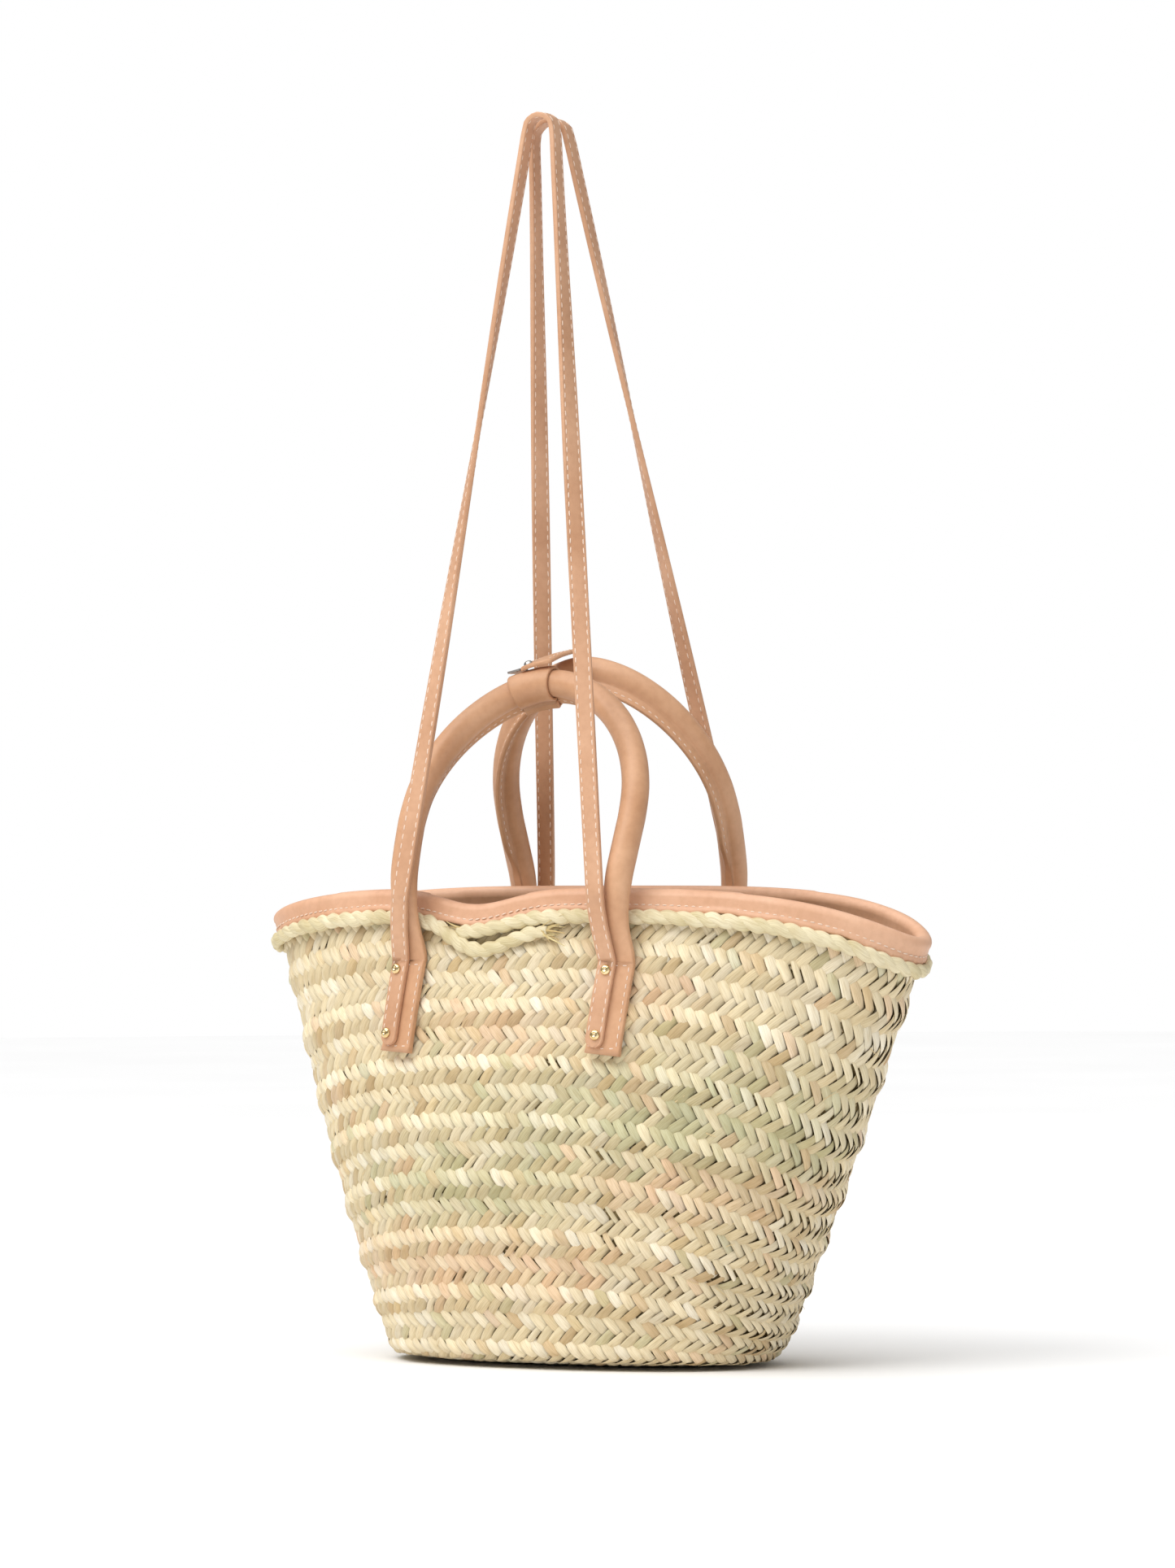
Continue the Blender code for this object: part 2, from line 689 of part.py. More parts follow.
def make_keeper(line, handle_pivot):
    middle, along, up, across = keeper_axes(line)
    make_sleeve(line, handle_pivot)
    hinge = keeper_hinge(line)
    pivot = add_pivot("keeper_flap_pivot", hinge)
    outward = across * math.cos(FLAP_RISE) + up * math.sin(FLAP_RISE)
    lift = up * math.cos(FLAP_RISE) - across * math.sin(FLAP_RISE)
    corner = hinge - along * FLAP_WIDTH / 2
    flap = add_block("keeper_flap", corner,
                     (along * FLAP_WIDTH, outward * FLAP_LENGTH, lift * FLAP_THICKNESS), LEATHER, pivot)
    stud = hinge - along * (FLAP_WIDTH / 2 - STUD_INSET) + outward * STUD_INSET
    cut(flap, hole_cutter("keeper_stud_hole", [(stud, lift)]))
    turned("keeper_stud", rivet_profile(FLAP_THICKNESS + SNUG), stud + lift * (FLAP_THICKNESS + SNUG),
           lift, STEEL, pivot)
    length, depth, thick = PLATE_SIZE
    sleeve = HANDLE_DIAMETER / 2 + SLEEVE_CLEARANCE + SLEEVE_LEATHER
    corner = hinge - along * (FLAP_WIDTH / 2 + GAP + length)
    corner = corner + up * (middle + up * (sleeve + SNUG) - corner).dot(up)
    corner = corner + across * ((middle - corner).dot(across) - depth / 2)
    add_block("keeper_plate", corner, (along * length, across * depth, up * thick), STEEL, handle_pivot)


# ---------------------------------------------------------------- shoulder straps

def strap_line(side, apex):
    """Centres along a strap, from its left tab to its right one, in its own side's view."""
    peak_x, peak_z = apex
    fold_radius = STRAP_FOLD_RADIUS[0 if side == FRONT else 1]
    handle_apex = FRONT_APEX_Z if side == FRONT else BACK_APEX_Z
    rim_left, rim_right = STRAP_RIM_INSET
    if side == BACK:
        peak_x = -peak_x
    half = STRAP_THICKNESS / 2
    start = mean_reach(TAB_TOP, layer_offsets()[2] + half)
    over = STRAP_STANDOFF + half

    def climb(foot_x, rim_x):
        stops = [Vector((foot_x, -start, TAB_TOP + GAP))]
        for z in (TAB_TOP + 0.010, HEIGHT - rope_drop(), HEIGHT - 0.005, HEIGHT + 0.012):
            x = mix(foot_x, rim_x, (z - TAB_TOP) / (HEIGHT + 0.012 - TAB_TOP))
            clear = leg_reach(z, handle_apex) + leg_thickness(z) / 2 + over
            stops.append(Vector((x, -max(start, clear), z)))
        return stops

    shoulder_z = peak_z - fold_radius
    y_top = -STRAP_SPACING

    def shoulder(x, from_x, from_y):
        rises = []
        for share in (0.25, 0.5, 0.75, 0.93):
            z = mix(HEIGHT + 0.012, shoulder_z, share)
            rises.append(Vector((mix(from_x, x, share), mix(from_y, y_top, share), z)))
        return rises

    up_left = climb(strap_x(-ANCHOR_X, FRONT), rim_left - ANCHOR_X)
    up_right = climb(strap_x(ANCHOR_X, FRONT), ANCHOR_X - rim_right)
    fold = [Vector((peak_x - fold_radius * math.cos(a), y_top,
                    shoulder_z + fold_radius * math.sin(a)))
            for a in (0, math.pi / 4, math.pi / 2, 3 * math.pi / 4, math.pi)]
    rise_left = shoulder(peak_x - fold_radius, up_left[-1].x, up_left[-1].y)
    rise_right = shoulder(peak_x + fold_radius, up_right[-1].x, up_right[-1].y)
    stops = up_left + rise_left + fold + rise_right[::-1] + up_right[::-1]
    return curve_through(stops, 3), shoulder_z, peak_x


def strap_rings(side, apex):
    """Flat sections that face the wall's outside at the tabs and turn a quarter to the fold."""
    line, shoulder_z, peak_x = strap_line(side, apex)
    rings = []
    half_width, half_thick = STRAP_WIDTH / 2, STRAP_THICKNESS / 2
    for i, centre in enumerate(line):
        along = direction(line, i)
        share = smooth_step((centre.z - HEIGHT) / (shoulder_z - HEIGHT))
        outward = Vector((0, -math.cos(share * math.pi / 2), 0))
        away = Vector((centre.x - peak_x, 0, max(0.0, centre.z - shoulder_z))).normalized()
        facing = outward + away * math.sin(share * math.pi / 2)
        facing = (facing - along * facing.dot(along)).normalized()
        wide = along.cross(facing)
        rings.append([centre + wide * half_width * u + facing * half_thick * v
                      for u, v in ((-1, -1), (1, -1), (1, 1), (-1, 1))])
    return rings


def make_strap(label, side, apex, pivot):
    points, faces = solid_of(strap_rings(side, apex))
    add_mesh(label, turned_to(side, points), faces, LEATHER, pivot, smooth=False)


def build():
    body = make_body()
    make_binding()
    make_rope()
    for side_name, side in (("front", FRONT), ("back", BACK)):
        for end_name, anchor_x in (("left", -ANCHOR_X), ("right", ANCHOR_X)):
            make_anchor(f"{side_name}_{end_name}", side, anchor_x, body)
        pivot = add_pivot(side_name + "_handle_pivot", hinge_point(side))
        make_handle(side_name + "_handle", side, pivot)
        if side == FRONT:
            make_keeper(handle_line(FRONT), pivot)
        pivot = add_pivot(side_name + "_strap_pivot", hinge_point(side))
        make_strap(side_name + "_strap", side, FRONT_APEX if side == FRONT else BACK_APEX, pivot)


clear_scene()
PARTS = new_collection("woven_market_basket")
CUTTERS = new_collection("cutters")
build()
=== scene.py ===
"""Woven market basket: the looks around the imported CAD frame. Metres, +Z up, front towards -Y."""

import math

import bmesh
import bpy
import numpy as np
from mathutils import Matrix, Vector


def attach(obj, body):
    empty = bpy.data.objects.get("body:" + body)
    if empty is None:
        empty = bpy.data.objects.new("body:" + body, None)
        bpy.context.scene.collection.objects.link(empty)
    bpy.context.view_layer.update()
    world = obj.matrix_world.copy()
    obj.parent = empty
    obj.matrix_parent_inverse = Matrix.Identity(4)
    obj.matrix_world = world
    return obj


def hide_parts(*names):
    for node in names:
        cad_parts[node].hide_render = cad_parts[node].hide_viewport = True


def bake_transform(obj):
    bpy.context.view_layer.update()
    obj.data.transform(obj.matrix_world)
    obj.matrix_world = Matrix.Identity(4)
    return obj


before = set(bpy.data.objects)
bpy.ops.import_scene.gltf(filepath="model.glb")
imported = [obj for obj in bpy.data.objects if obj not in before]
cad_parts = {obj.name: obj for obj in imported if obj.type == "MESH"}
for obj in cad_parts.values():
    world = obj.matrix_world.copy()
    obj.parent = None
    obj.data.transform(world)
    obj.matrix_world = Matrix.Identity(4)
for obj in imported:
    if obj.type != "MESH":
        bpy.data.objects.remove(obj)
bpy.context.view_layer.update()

# Basket body, the same driving sizes as the CAD
HEIGHT = 0.2745
BASE_LEFT, BASE_RIGHT, BASE_HALF_DEPTH = 0.1125, 0.129, 0.070
RIM_LEFT, RIM_RIGHT, RIM_HALF_DEPTH = 0.2015, 0.2395, 0.061
SWELL_LENGTH, SWELL_DEPTH = 0.001, 0.022
BASE_SQUARENESS, RIM_SQUARENESS = 2.3, 2.0
BASE_CORNER = 0.012
WALL = 0.005
LEFT_DROOP, RIGHT_DROOP, DROOP_POWER = 0.017, 0.030, 4
FRONT_SAG, SAG_CENTRE_X, SAG_WIDTH = 0.009, -0.030, 0.032
BINDING_DROP = 0.0105
ROPE_START_X, ROPE_TAIL_END_X = -0.038, 0.022
ROPE_TAIL_DIP, ROPE_TAIL_RISE = 0.012, 0.004
ROPE_RADIUS = 0.003

# Tabs, handles, straps and keeper, the same as the CAD
ANCHOR_X, TAB_TOP, TAB_LENGTH, TAB_WIDTH = 0.0685, 0.2355, 0.053, 0.021
TAB_THICKNESS, TAB_SLANT = 0.0045, 0.0045
RIVET_TOP_INSET, RIVET_BOTTOM_INSET = 0.0065, 0.010
HANDLE_DIAMETER, HANDLE_FLANGE, FLANGE_THICKNESS = 0.016, 0.0055, 0.003
ARCH_START_Z, FRONT_APEX_Z, BACK_APEX_Z = 0.320, 0.3965, 0.405
LEG_SPREAD, ARCH_POWER, APEX_Y, LEAN_POWER = 0.004, 1.12, 0.0195, 1.22
FLANGE_TURN = math.radians(55)
STRAP_WIDTH, STRAP_THICKNESS, STRAP_OFFSET_X = 0.010, 0.003, -0.0045
STRAP_RIM_INSET = (0.0032, 0.0084)
STRAP_FOLD_RADIUS = (0.009, 0.0115)
FRONT_APEX, BACK_APEX = (-0.0127, 0.7305), (-0.0137, 0.7285)
STRAP_SPACING, STRAP_STANDOFF = 0.0075, 0.0018
KEEPER_X, SLEEVE_LENGTH, SLEEVE_LEATHER, SLEEVE_CLEARANCE = -0.012, 0.025, 0.0016, 0.0007
GAP, SNUG = 0.0003, 0.0005
FRONT, BACK = -1, 1

# Weave: pitch of the strands along a row, slope of a strand, and the braids up the wall
PITCH = 0.0076
SLOPE = 1.12
STRIP_WIDTH = 0.0058
BRAID_SHARE = 0.118
BRAID_START = 0.052
FIRST_BRAID, LAST_BRAID = -4, 7
ARCH_LEFT, ARCH_RIGHT = 0.018, 0.030
RIDGE = 0.0019
OUTER_INSET, INNER_INSET, CORE_INSET = 0.0017, 0.0042, 0.0031
WAVE_HEIGHT, CROWN, ROW_TILT = 0.00095, 0.0005, 0.0011
BASE_LIFT = 0.0022
FEWEST_STRANDS = 12
FIBRE_COUNT = 130

# How much the strips differ: place, direction, width, wave and roll, and the share that is split
SLIP_ALONG, SLIP_UP, TURN_SPREAD, ROLL_SPREAD = 0.00022, 0.00018, 0.035, 0.00064
WIDTH_RANGE, SPLIT_RANGE, WAVE_RANGE = (0.90, 1.06), (0.5, 0.75), (0.8, 1.25)
SPLIT_SHARE = 0.03
TONE_POOL = 4096

# A strip's section: places across it, in widths, and how far each drops from the crown, in CROWNs
OUTSIDE_SECTION = ((-0.5, -0.40, 0.0, 0.40, 0.5), (-1.9, -0.75, 0.0, -0.75, -1.9))
INSIDE_SECTION = ((-0.5, 0.0, 0.5), (-1.2, 0.0, -1.2))

# Edge rope: the lay of its twist, half the size of the rope and of one ply, and points round a ply
ROPE_LAY = 0.0185
ROPE_HALF_HIGH, ROPE_HALF_DEEP, PLY_HIGH, PLY_DEEP = 0.0042, 0.0029, 0.0031, 0.0024
PLY_POINTS = 14

# Binding: its two faces, measured out from the wall's outside, its rolled top and its stitched line
OUTER_FACE, INNER_FACE = 0.0021, -WALL - 0.0022
BEAD_RADIUS, BEAD_FLATTENING, BEAD_DROP = 0.0048, 0.92, 0.0012
BINDING_STITCH_DROP = 0.0066
PUCKER_HEIGHT, PUCKERS_PER_RADIAN = 0.00012, 2 * math.pi / 0.0046 * 0.155

# Stitches: (length, width, height) of a dash, and the pitch along each kind of seam
BINDING_STITCH, LEATHER_STITCH, STRAP_STITCH = ((0.0031, 0.0009, 0.0008), (0.0029, 0.0008, 0.0007),
                                                (0.0036, 0.0008, 0.0007))
BINDING_PITCH, HANDLE_PITCH, TAB_PITCH, STRAP_PITCH = 0.0044, 0.0046, 0.0042, 0.0054
BINDING_STITCH_SLANT = 0.10
STRAP_SEAM = 0.00375

# Tabs and straps: a tab's pressed lower lip, its squareness, and the half width its outline is drawn at
TAB_LIP, TAB_SQUARENESS = 0.0006, 0.30
STRAP_HALF_MM, STRAP_FULLNESS = 5.0, 1.07
RIVET_PROFILE = ((0.0, 0.00105), (0.0006, 0.00110), (0.0010, 0.00142), (0.0014, 0.00158), (0.0019, 0.00145),
                 (0.0025, 0.00108), (0.0029, 0.00060), (0.00305, 0.0001), (0.0030, -0.0004))

# Points round a handle's rolled part, and round a rivet or stud
ROUND_POINTS, DOME_POINTS = 30, 28


# ---------------------------------------------------------------- small maths

def smooth(value):
    value = np.clip(value, 0.0, 1.0)
    return value * value * (3 - 2 * value)


def mix(low, high, share):
    return low + (high - low) * share


def unit(vectors):
    return vectors / np.maximum(np.linalg.norm(vectors, axis=-1, keepdims=True), 1e-12)


def curve_through(stops, per_span):
    """Points on a smooth curve that passes through every stop."""
    stops = [np.asarray(stop, float) for stop in stops]
    ends = [stops[0] * 2 - stops[1], *stops, stops[-1] * 2 - stops[-2]]
    points = []
    for a, b, c, d in zip(ends, ends[1:], ends[2:], ends[3:]):
        for i in range(per_span):
            t = i / per_span
            points.append(0.5 * (2 * b + (c - a) * t + (2 * a - 5 * b + 4 * c - d) * t ** 2
                                 + (3 * b - a - 3 * c + d) * t ** 3))
    return np.array(points + [stops[-1]])


def lengths_along(points):
    steps = np.linalg.norm(np.diff(points, axis=0), axis=1)
    return np.concatenate([[0.0], np.cumsum(steps)])


def value_at(at, reach, values):
    """Rows of three values at places between the ones where they are known."""
    return np.stack([np.interp(at, reach, values[:, k]) for k in range(3)], -1)


def evenly(points, spacing):
    """The same line with evenly spaced points."""
    reach = lengths_along(points)
    return value_at(np.linspace(0, reach[-1], int(reach[-1] / spacing) + 1), reach, points)


def both_ways(half):
    """A whole outline from its right half, which starts at the middle."""
    return [(-x, y) for x, y in half[:0:-1]] + half


def turn_z(points, angle):
    c, s = math.cos(angle), math.sin(angle)
    return np.asarray(points) @ np.array([[c, s, 0], [-s, c, 0], [0, 0, 1]])


def wobble(phase, count, seed):
    """A slow, closed random ripple of unit size over phase 0 to 2 pi."""
    local = np.random.default_rng(seed)
    total = np.zeros_like(phase)
    for k in range(1, count + 1):
        total += local.normal() * np.cos(k * phase) + local.normal() * np.sin(k * phase)
    return total / math.sqrt(count)


# ---------------------------------------------------------------- the basket's surface

def wall_sizes(z, x):
    """Outer reach on x's side, half depth and squareness at height z."""
    share = z / HEIGHT
    swell = np.sin(np.pi * np.clip(share, None, 1.0))
    reach = np.where(x < 0, mix(BASE_LEFT, RIM_LEFT, share), mix(BASE_RIGHT, RIM_RIGHT, share))
    return (reach + SWELL_LENGTH * swell,
            mix(BASE_HALF_DEPTH, RIM_HALF_DEPTH, share) + SWELL_DEPTH * swell,
            mix(BASE_SQUARENESS, RIM_SQUARENESS, np.clip(share, None, 1.0)))


def wall_point(angle, z, inset=0.0):
    across, deep = np.cos(angle), np.sin(angle)
    half_length, half_depth, squareness = wall_sizes(z, across)
    power = 2 / squareness
    x = (half_length - inset) * np.sign(across) * np.abs(across) ** power
    y = (half_depth - inset) * np.sign(deep) * np.abs(deep) ** power
    return np.stack([x, y, z + 0 * x], axis=-1)


CORNER_END = BASE_CORNER * (1 - math.pi / 2)


def skin_point(angle, level):
    """The outside at a level: a height up the wall, then round the base's corner and over the base."""
    turn = np.clip((BASE_CORNER - level) / BASE_CORNER, 0, math.pi / 2)
    beyond = np.clip(CORNER_END - level, 0, None)
    z = np.where(level > BASE_CORNER, level, BASE_CORNER * (1 - np.sin(turn)))
    inset = BASE_CORNER * (1 - np.cos(turn)) + beyond
    return wall_point(angle, z, np.minimum(inset, BASE_HALF_DEPTH - 0.001))


def base_lift(level):
    """How far the braid is drawn in under the base, so that its strips stand on the floor."""
    return BASE_LIFT * np.clip((BASE_CORNER - level) / BASE_CORNER, 0, 1)


def skin_normal(angle, level):
    small_angle, small = 2e-4, 1e-4
    round_it = skin_point(angle + small_angle, level) - skin_point(angle - small_angle, level)
    up_it = skin_point(angle, level + small) - skin_point(angle, level - small)
    return unit(np.cross(round_it, up_it))


def droop(angle):
    along = np.cos(angle)
    return np.where(along > 0, RIGHT_DROOP, LEFT_DROOP) * np.abs(along) ** DROOP_POWER


def sag(angle):
    along = np.cos(angle)
    x = along * np.where(along > 0, RIM_RIGHT, RIM_LEFT)
    return np.where(np.sin(angle) < 0, FRONT_SAG * np.exp(-((x - SAG_CENTRE_X) / SAG_WIDTH) ** 2), 0.0)


def rim_height(angle):
    return HEIGHT - droop(angle) - sag(angle)


def row_level(angle, share):
    """The level of a braid row at a share of the wall's height: rows arch down towards both ends."""
    along = np.cos(angle)
    inside = np.clip(share, 0, None)
    arch = np.where(along > 0, ARCH_RIGHT, ARCH_LEFT) * along ** 2
    level = CORNER_END + share * (HEIGHT - CORNER_END) - inside * droop(angle)
    return level - arch * np.sin(np.pi * np.clip(share, 0, 1)) - sag(angle) * inside ** 8


def wall_normal(point):
    """The outward normal of the wall through a point of it."""
    x, y, z = point
    half_length, half_depth, n = (float(v) for v in wall_sizes(z, x))
    step = 0.001
    longer, deeper, _ = (float(v) for v in wall_sizes(z + step, x))
    ratio_x, ratio_y = abs(x) / half_length, abs(y) / half_depth
    slope_x = math.copysign(ratio_x ** (n - 1) / half_length, x)
    slope_y = math.copysign(ratio_y ** (n - 1) / half_depth, y)
    slope_z = -(ratio_x ** n * (longer - half_length) / half_length
                + ratio_y ** n * (deeper - half_depth) / half_depth) / step
    return unit(np.array([slope_x, slope_y, slope_z]))


def side_point(x, z, side, offset=0.0):
    """The point at x and z that lies offset outside the front or back wall."""
    half_length, half_depth, n = (float(v) for v in wall_sizes(z, x))
    y = side * half_depth * (1 - min(abs(x) / half_length, 1.0) ** n) ** (1 / n)
    normal = wall_normal((x, y, z))
    return np.array([x, y + side * offset / abs(normal[1]), z])


# ---------------------------------------------------------------- meshes from arrays

def paint(mesh, tint):
    """Gives every point of a mesh its own leaf colour."""
    rgba = np.concatenate([tint, np.ones((len(tint), 1))], 1)
    layer = mesh.color_attributes.new("tint", "FLOAT_COLOR", "POINT")
    layer.data.foreach_set("color", rgba.astype(np.float32).ravel())


def grid_mesh(name, points, grain, look, tint=None, ring=False):
    """One object from n patches of rows x columns points. ring joins the last column to the first."""
    n, rows, cols = points.shape[:3]
    i = np.arange(rows - 1)[:, None]
    j = np.arange(cols if ring else cols - 1)[None, :]
    nxt = (j + 1) % cols
    quad = np.stack([i * cols + j, i * cols + nxt, (i + 1) * cols + nxt, (i + 1) * cols + j], -1)
    faces = (np.arange(n)[:, None, None] * rows * cols + quad.reshape(-1, 4)[None]).reshape(-1, 4)
    u, v = grain[..., 0], grain[..., 1]
    if ring:
        u = np.concatenate([u, u[:, :, :1]], 2)
        v = np.concatenate([v, 2 * v[:, :, -1:] - v[:, :, -2:-1]], 2)
    corners = np.stack([np.stack([w[:, :-1, :-1], w[:, :-1, 1:], w[:, 1:, 1:], w[:, 1:, :-1]], -1)
                        for w in (u, v)], -1)
    mesh = bpy.data.meshes.new(name)
    mesh.vertices.add(n * rows * cols)
    mesh.vertices.foreach_set("co", points.astype(np.float32).ravel())
    mesh.loops.add(faces.size)
    mesh.loops.foreach_set("vertex_index", faces.astype(np.int32).ravel())
    mesh.polygons.add(len(faces))
    mesh.polygons.foreach_set("loop_start", np.arange(0, faces.size, 4, dtype=np.int32))
    mesh.update(calc_edges=True)
    mesh.shade_smooth()
    mesh.uv_layers.new(name="grain").data.foreach_set("uv", corners.astype(np.float32).ravel())
    if tint is not None:
        paint(mesh, tint.reshape(-1, 3))
    mesh.validate()
    mesh.materials.append(look)
    made = bpy.data.objects.new(name, mesh)
    bpy.context.scene.collection.objects.link(made)
    return made


def swept(name, rings, look, closed=False, caps=True):
    """A skin through rings of points (stations x around x 3), with its grain in metres."""
    rings = np.asarray(rings)
    if closed:
        rings = np.concatenate([rings, rings[:1]])
    along, around = lengths_along(rings.mean(1)), lengths_along(rings[len(rings) // 2])
    grain = np.stack(np.meshgrid(along, around, indexing="ij"), -1)
    made = grid_mesh(name, rings[None], grain[None], look, ring=True)
    shell = bmesh.new()
    shell.from_mesh(made.data)
    if closed:
        bmesh.ops.remove_doubles(shell, verts=shell.verts, dist=1e-6)
    elif caps:
        edges = [edge for edge in shell.edges if edge.is_boundary]
        bmesh.ops.holes_fill(shell, edges=edges, sides=0)
    bmesh.ops.recalc_face_normals(shell, faces=shell.faces)
    shell.to_mesh(made.data)
    shell.free()
    made.data.shade_smooth()
    return made


def dome(name, foot, outward, sideways, up, profile, look):
    """A turned cap from (radius, height) pairs; its middle keeps a tiny radius so that it closes."""
    turn = np.arange(DOME_POINTS) * 2 * math.pi / DOME_POINTS
    circle = np.cos(turn)[:, None] * sideways + np.sin(turn)[:, None] * up
    return swept(name, [foot + outward * h + circle * max(r, 2e-5) for r, h in profile], look)


def joined(name, parts):
    """Joins mesh objects into one, in the order given."""
    with bpy.context.temp_override(active_object=parts[0], selected_editable_objects=parts,
                                   selected_objects=parts):
        bpy.ops.object.join()
    parts[0].name = name
    parts[0].data.name = name
    return parts[0]


def stitches(name, places, length, width, height, slant=0.0):
    """Thread dashes: places are (point, direction, outward) triples."""
    centre, along, outward = (np.array(part) for part in zip(*places))
    along, outward = unit(along), unit(outward)
    side = unit(np.cross(outward, along))
    along = unit(np.cross(side, outward))
    if slant:
        along = unit(along + side * slant)
        side = unit(np.cross(outward, along))
    local = np.random.default_rng(len(places))
    along = unit(along + side * local.normal(0, 0.05, (len(places), 1)))
    size = length * local.uniform(0.92, 1.05, (len(places), 1, 1))
    s = np.array([-0.5, -0.44, -0.28, 0.0, 0.28, 0.44, 0.5])[:, None]
    full = np.array([0.05, 0.55, 0.92, 1.0, 0.92, 0.55, 0.05])[:, None]
    lift = np.array([-0.9, -0.35, 0.0, 0.12, 0.0, -0.35, -0.9])[:, None]
    phi = np.arange(8) * math.pi / 4
    wide = full * np.cos(phi) * width / 2
    high = (full * np.sin(phi) + lift) * height / 2
    points = (centre[:, None, None] + along[:, None, None] * (s * size)[..., None]
              + side[:, None, None] * wide[..., None] + outward[:, None, None] * high[..., None])
    grain = np.zeros((*points.shape[:3], 2))
    grain[..., 0] = s * length
    grain[..., 1] = phi * width / 2
    return grid_mesh(name, points, grain, THREAD, ring=True)


def dashes_on(points, outwards, pitch, phase=0.0):
    """Evenly spaced (point, direction, outward) triples along a path of points."""
    reach = lengths_along(points)
    count = max(1, int((reach[-1] - pitch) / pitch))
    at = (np.arange(count) + 0.5 + phase) * reach[-1] / (count + phase)
    at = at[at < reach[-1]]
    ahead, behind = (value_at(at + step, reach, points) for step in (1e-4, -1e-4))
    return list(zip(value_at(at, reach, points), unit(ahead - behind), unit(value_at(at, reach, outwards))))


# ---------------------------------------------------------------- materials

class Nodes:
    """Short ways to add and join a material's nodes."""

    def __init__(self, name):
        self.material = bpy.data.materials.new(name)
        self.material.use_nodes = True
        self.tree = self.material.node_tree
        self.shader = self.tree.nodes["Principled BSDF"]

    def feed(self, socket, value):
        """Links another node's output to a socket, or sets the socket to a plain value."""
        if isinstance(value, bpy.types.NodeSocket):
            self.tree.links.new(value, socket)
        else:
            socket.default_value = value

    def add(self, kind, **inputs):
        node = self.tree.nodes.new("ShaderNode" + kind)
        for key, value in inputs.items():
            self.feed(node.inputs[key.replace("_", " ")], value)
        return node

    def place(self):
        """Places in metres on the object itself."""
        return self.add("TexCoord").outputs["Object"]

    def grain(self, **inputs):
        """Places along and across the leaf or thread, stretched or turned."""
        uv = self.add("UVMap")
        uv.uv_map = "grain"
        return self.add("Mapping", Vector=uv.outputs["UV"], **inputs).outputs["Vector"]

    def texture(self, kind, place, output="Fac", **inputs):
        return self.add("Tex" + kind, Vector=place, **inputs).outputs[output]

    def ramp(self, value, stops):
        node = self.add("ValToRGB", Fac=value)
        elements = node.color_ramp.elements
        while len(elements) < len(stops):
            elements.new(0.5)
        for element, (place, colour) in zip(elements, stops):
            element.position = place
            element.color = (*colour, 1.0)
        return node.outputs["Color"]

    def multiply(self, amount, first, second):
        node = self.add("Mix")
        node.data_type = "RGBA"
        node.blend_type = "MULTIPLY"
        for socket, value in ((0, amount), (6, first), (7, second)):
            self.feed(node.inputs[socket], value)
        return node.outputs[2]

    def total(self, first, second):
        node = self.add("Math")
        self.feed(node.inputs[0], first)
        self.feed(node.inputs[1], second)
        return node.outputs[0]

    def spread(self, value, low, high):
        return self.add("MapRange", Value=value, To_Min=low, To_Max=high).outputs["Result"]

    def finish(self, colour, roughness, height=None, strength=0.3, distance=0.0003):
        self.feed(self.shader.inputs["Base Color"], colour)
        self.feed(self.shader.inputs["Roughness"], roughness)
        if height is not None:
            bump = self.add("Bump", Strength=strength, Distance=distance, Height=height)
            self.feed(self.shader.inputs["Normal"], bump.outputs["Normal"])
        return self.material


def srgb(red, green, blue):
    """Linear colour from 0 to 255 display values."""
    values = [v / 255 for v in (red, green, blue)]
    return tuple(v / 12.92 if v <= 0.04045 else ((v + 0.055) / 1.055) ** 2.4 for v in values)


def palm_look(name, shade=1.0):
    """Dried palm leaf: each strip's own colour, with long fibres and a slight leaf sheen."""
    n = Nodes(name)
    own = n.add("Attribute")
    own.attribute_name = "tint"
    fibre = n.texture("Noise", n.grain(Scale=(60.0, 2600.0, 1.0)), Scale=1.0, Detail=3.0, Roughness=0.6)
    patch = n.texture("Noise", n.grain(Scale=(110.0, 420.0, 1.0)), Scale=1.0, Detail=2.0)
    streak = n.ramp(fibre, [(0.30, (0.78, 0.73, 0.64)), (0.52, (1.0, 1.0, 1.0)), (0.75, (1.07, 1.07, 1.08))])
    stain = n.ramp(patch, [(0.32, (0.88, 0.84, 0.76)), (0.55, (1.0, 1.0, 1.0))])
    colour = n.multiply(0.75, n.multiply(1.0, own.outputs["Color"], streak), stain)
    # A shade below 1 darkens the whole copy: painted shade, used for the basket's inside
    colour = n.multiply(1.0, colour, (shade, shade, shade, 1.0))
    n.shader.inputs["Specular IOR Level"].default_value = 0.38
    n.shader.inputs["Sheen Weight"].default_value = 0.08
    return n.finish(colour, n.spread(fibre, 0.42, 0.68), fibre, 0.45, 0.00025)


def leather_look(name, light, dark, roughness=(0.38, 0.56), grain=0.28):
    """Smooth vegetable leather: soft clouds of tone, fine pores and a satin surface."""
    n = Nodes(name)
    place = n.place()
    cloud = n.texture("Noise", place, Scale=22.0, Detail=4.0, Roughness=0.55)
    mottle = n.texture("Noise", place, Scale=260.0, Detail=3.0)
    pores = n.texture("Voronoi", place, "Distance", Scale=1500.0)
    creases = n.texture("Noise", place, Scale=700.0, Detail=2.0, Distortion=0.6)
    speck = n.ramp(mottle, [(0.35, (0.93, 0.91, 0.89)), (0.60, (1.0, 1.0, 1.0))])
    colour = n.multiply(0.8, n.ramp(cloud, [(0.30, dark), (0.70, light)]), speck)
    n.shader.inputs["Specular IOR Level"].default_value = 0.42
    n.shader.inputs["Sheen Weight"].default_value = 0.06
    return n.finish(colour, n.spread(mottle, *roughness), n.total(pores, creases), grain, 0.00012)


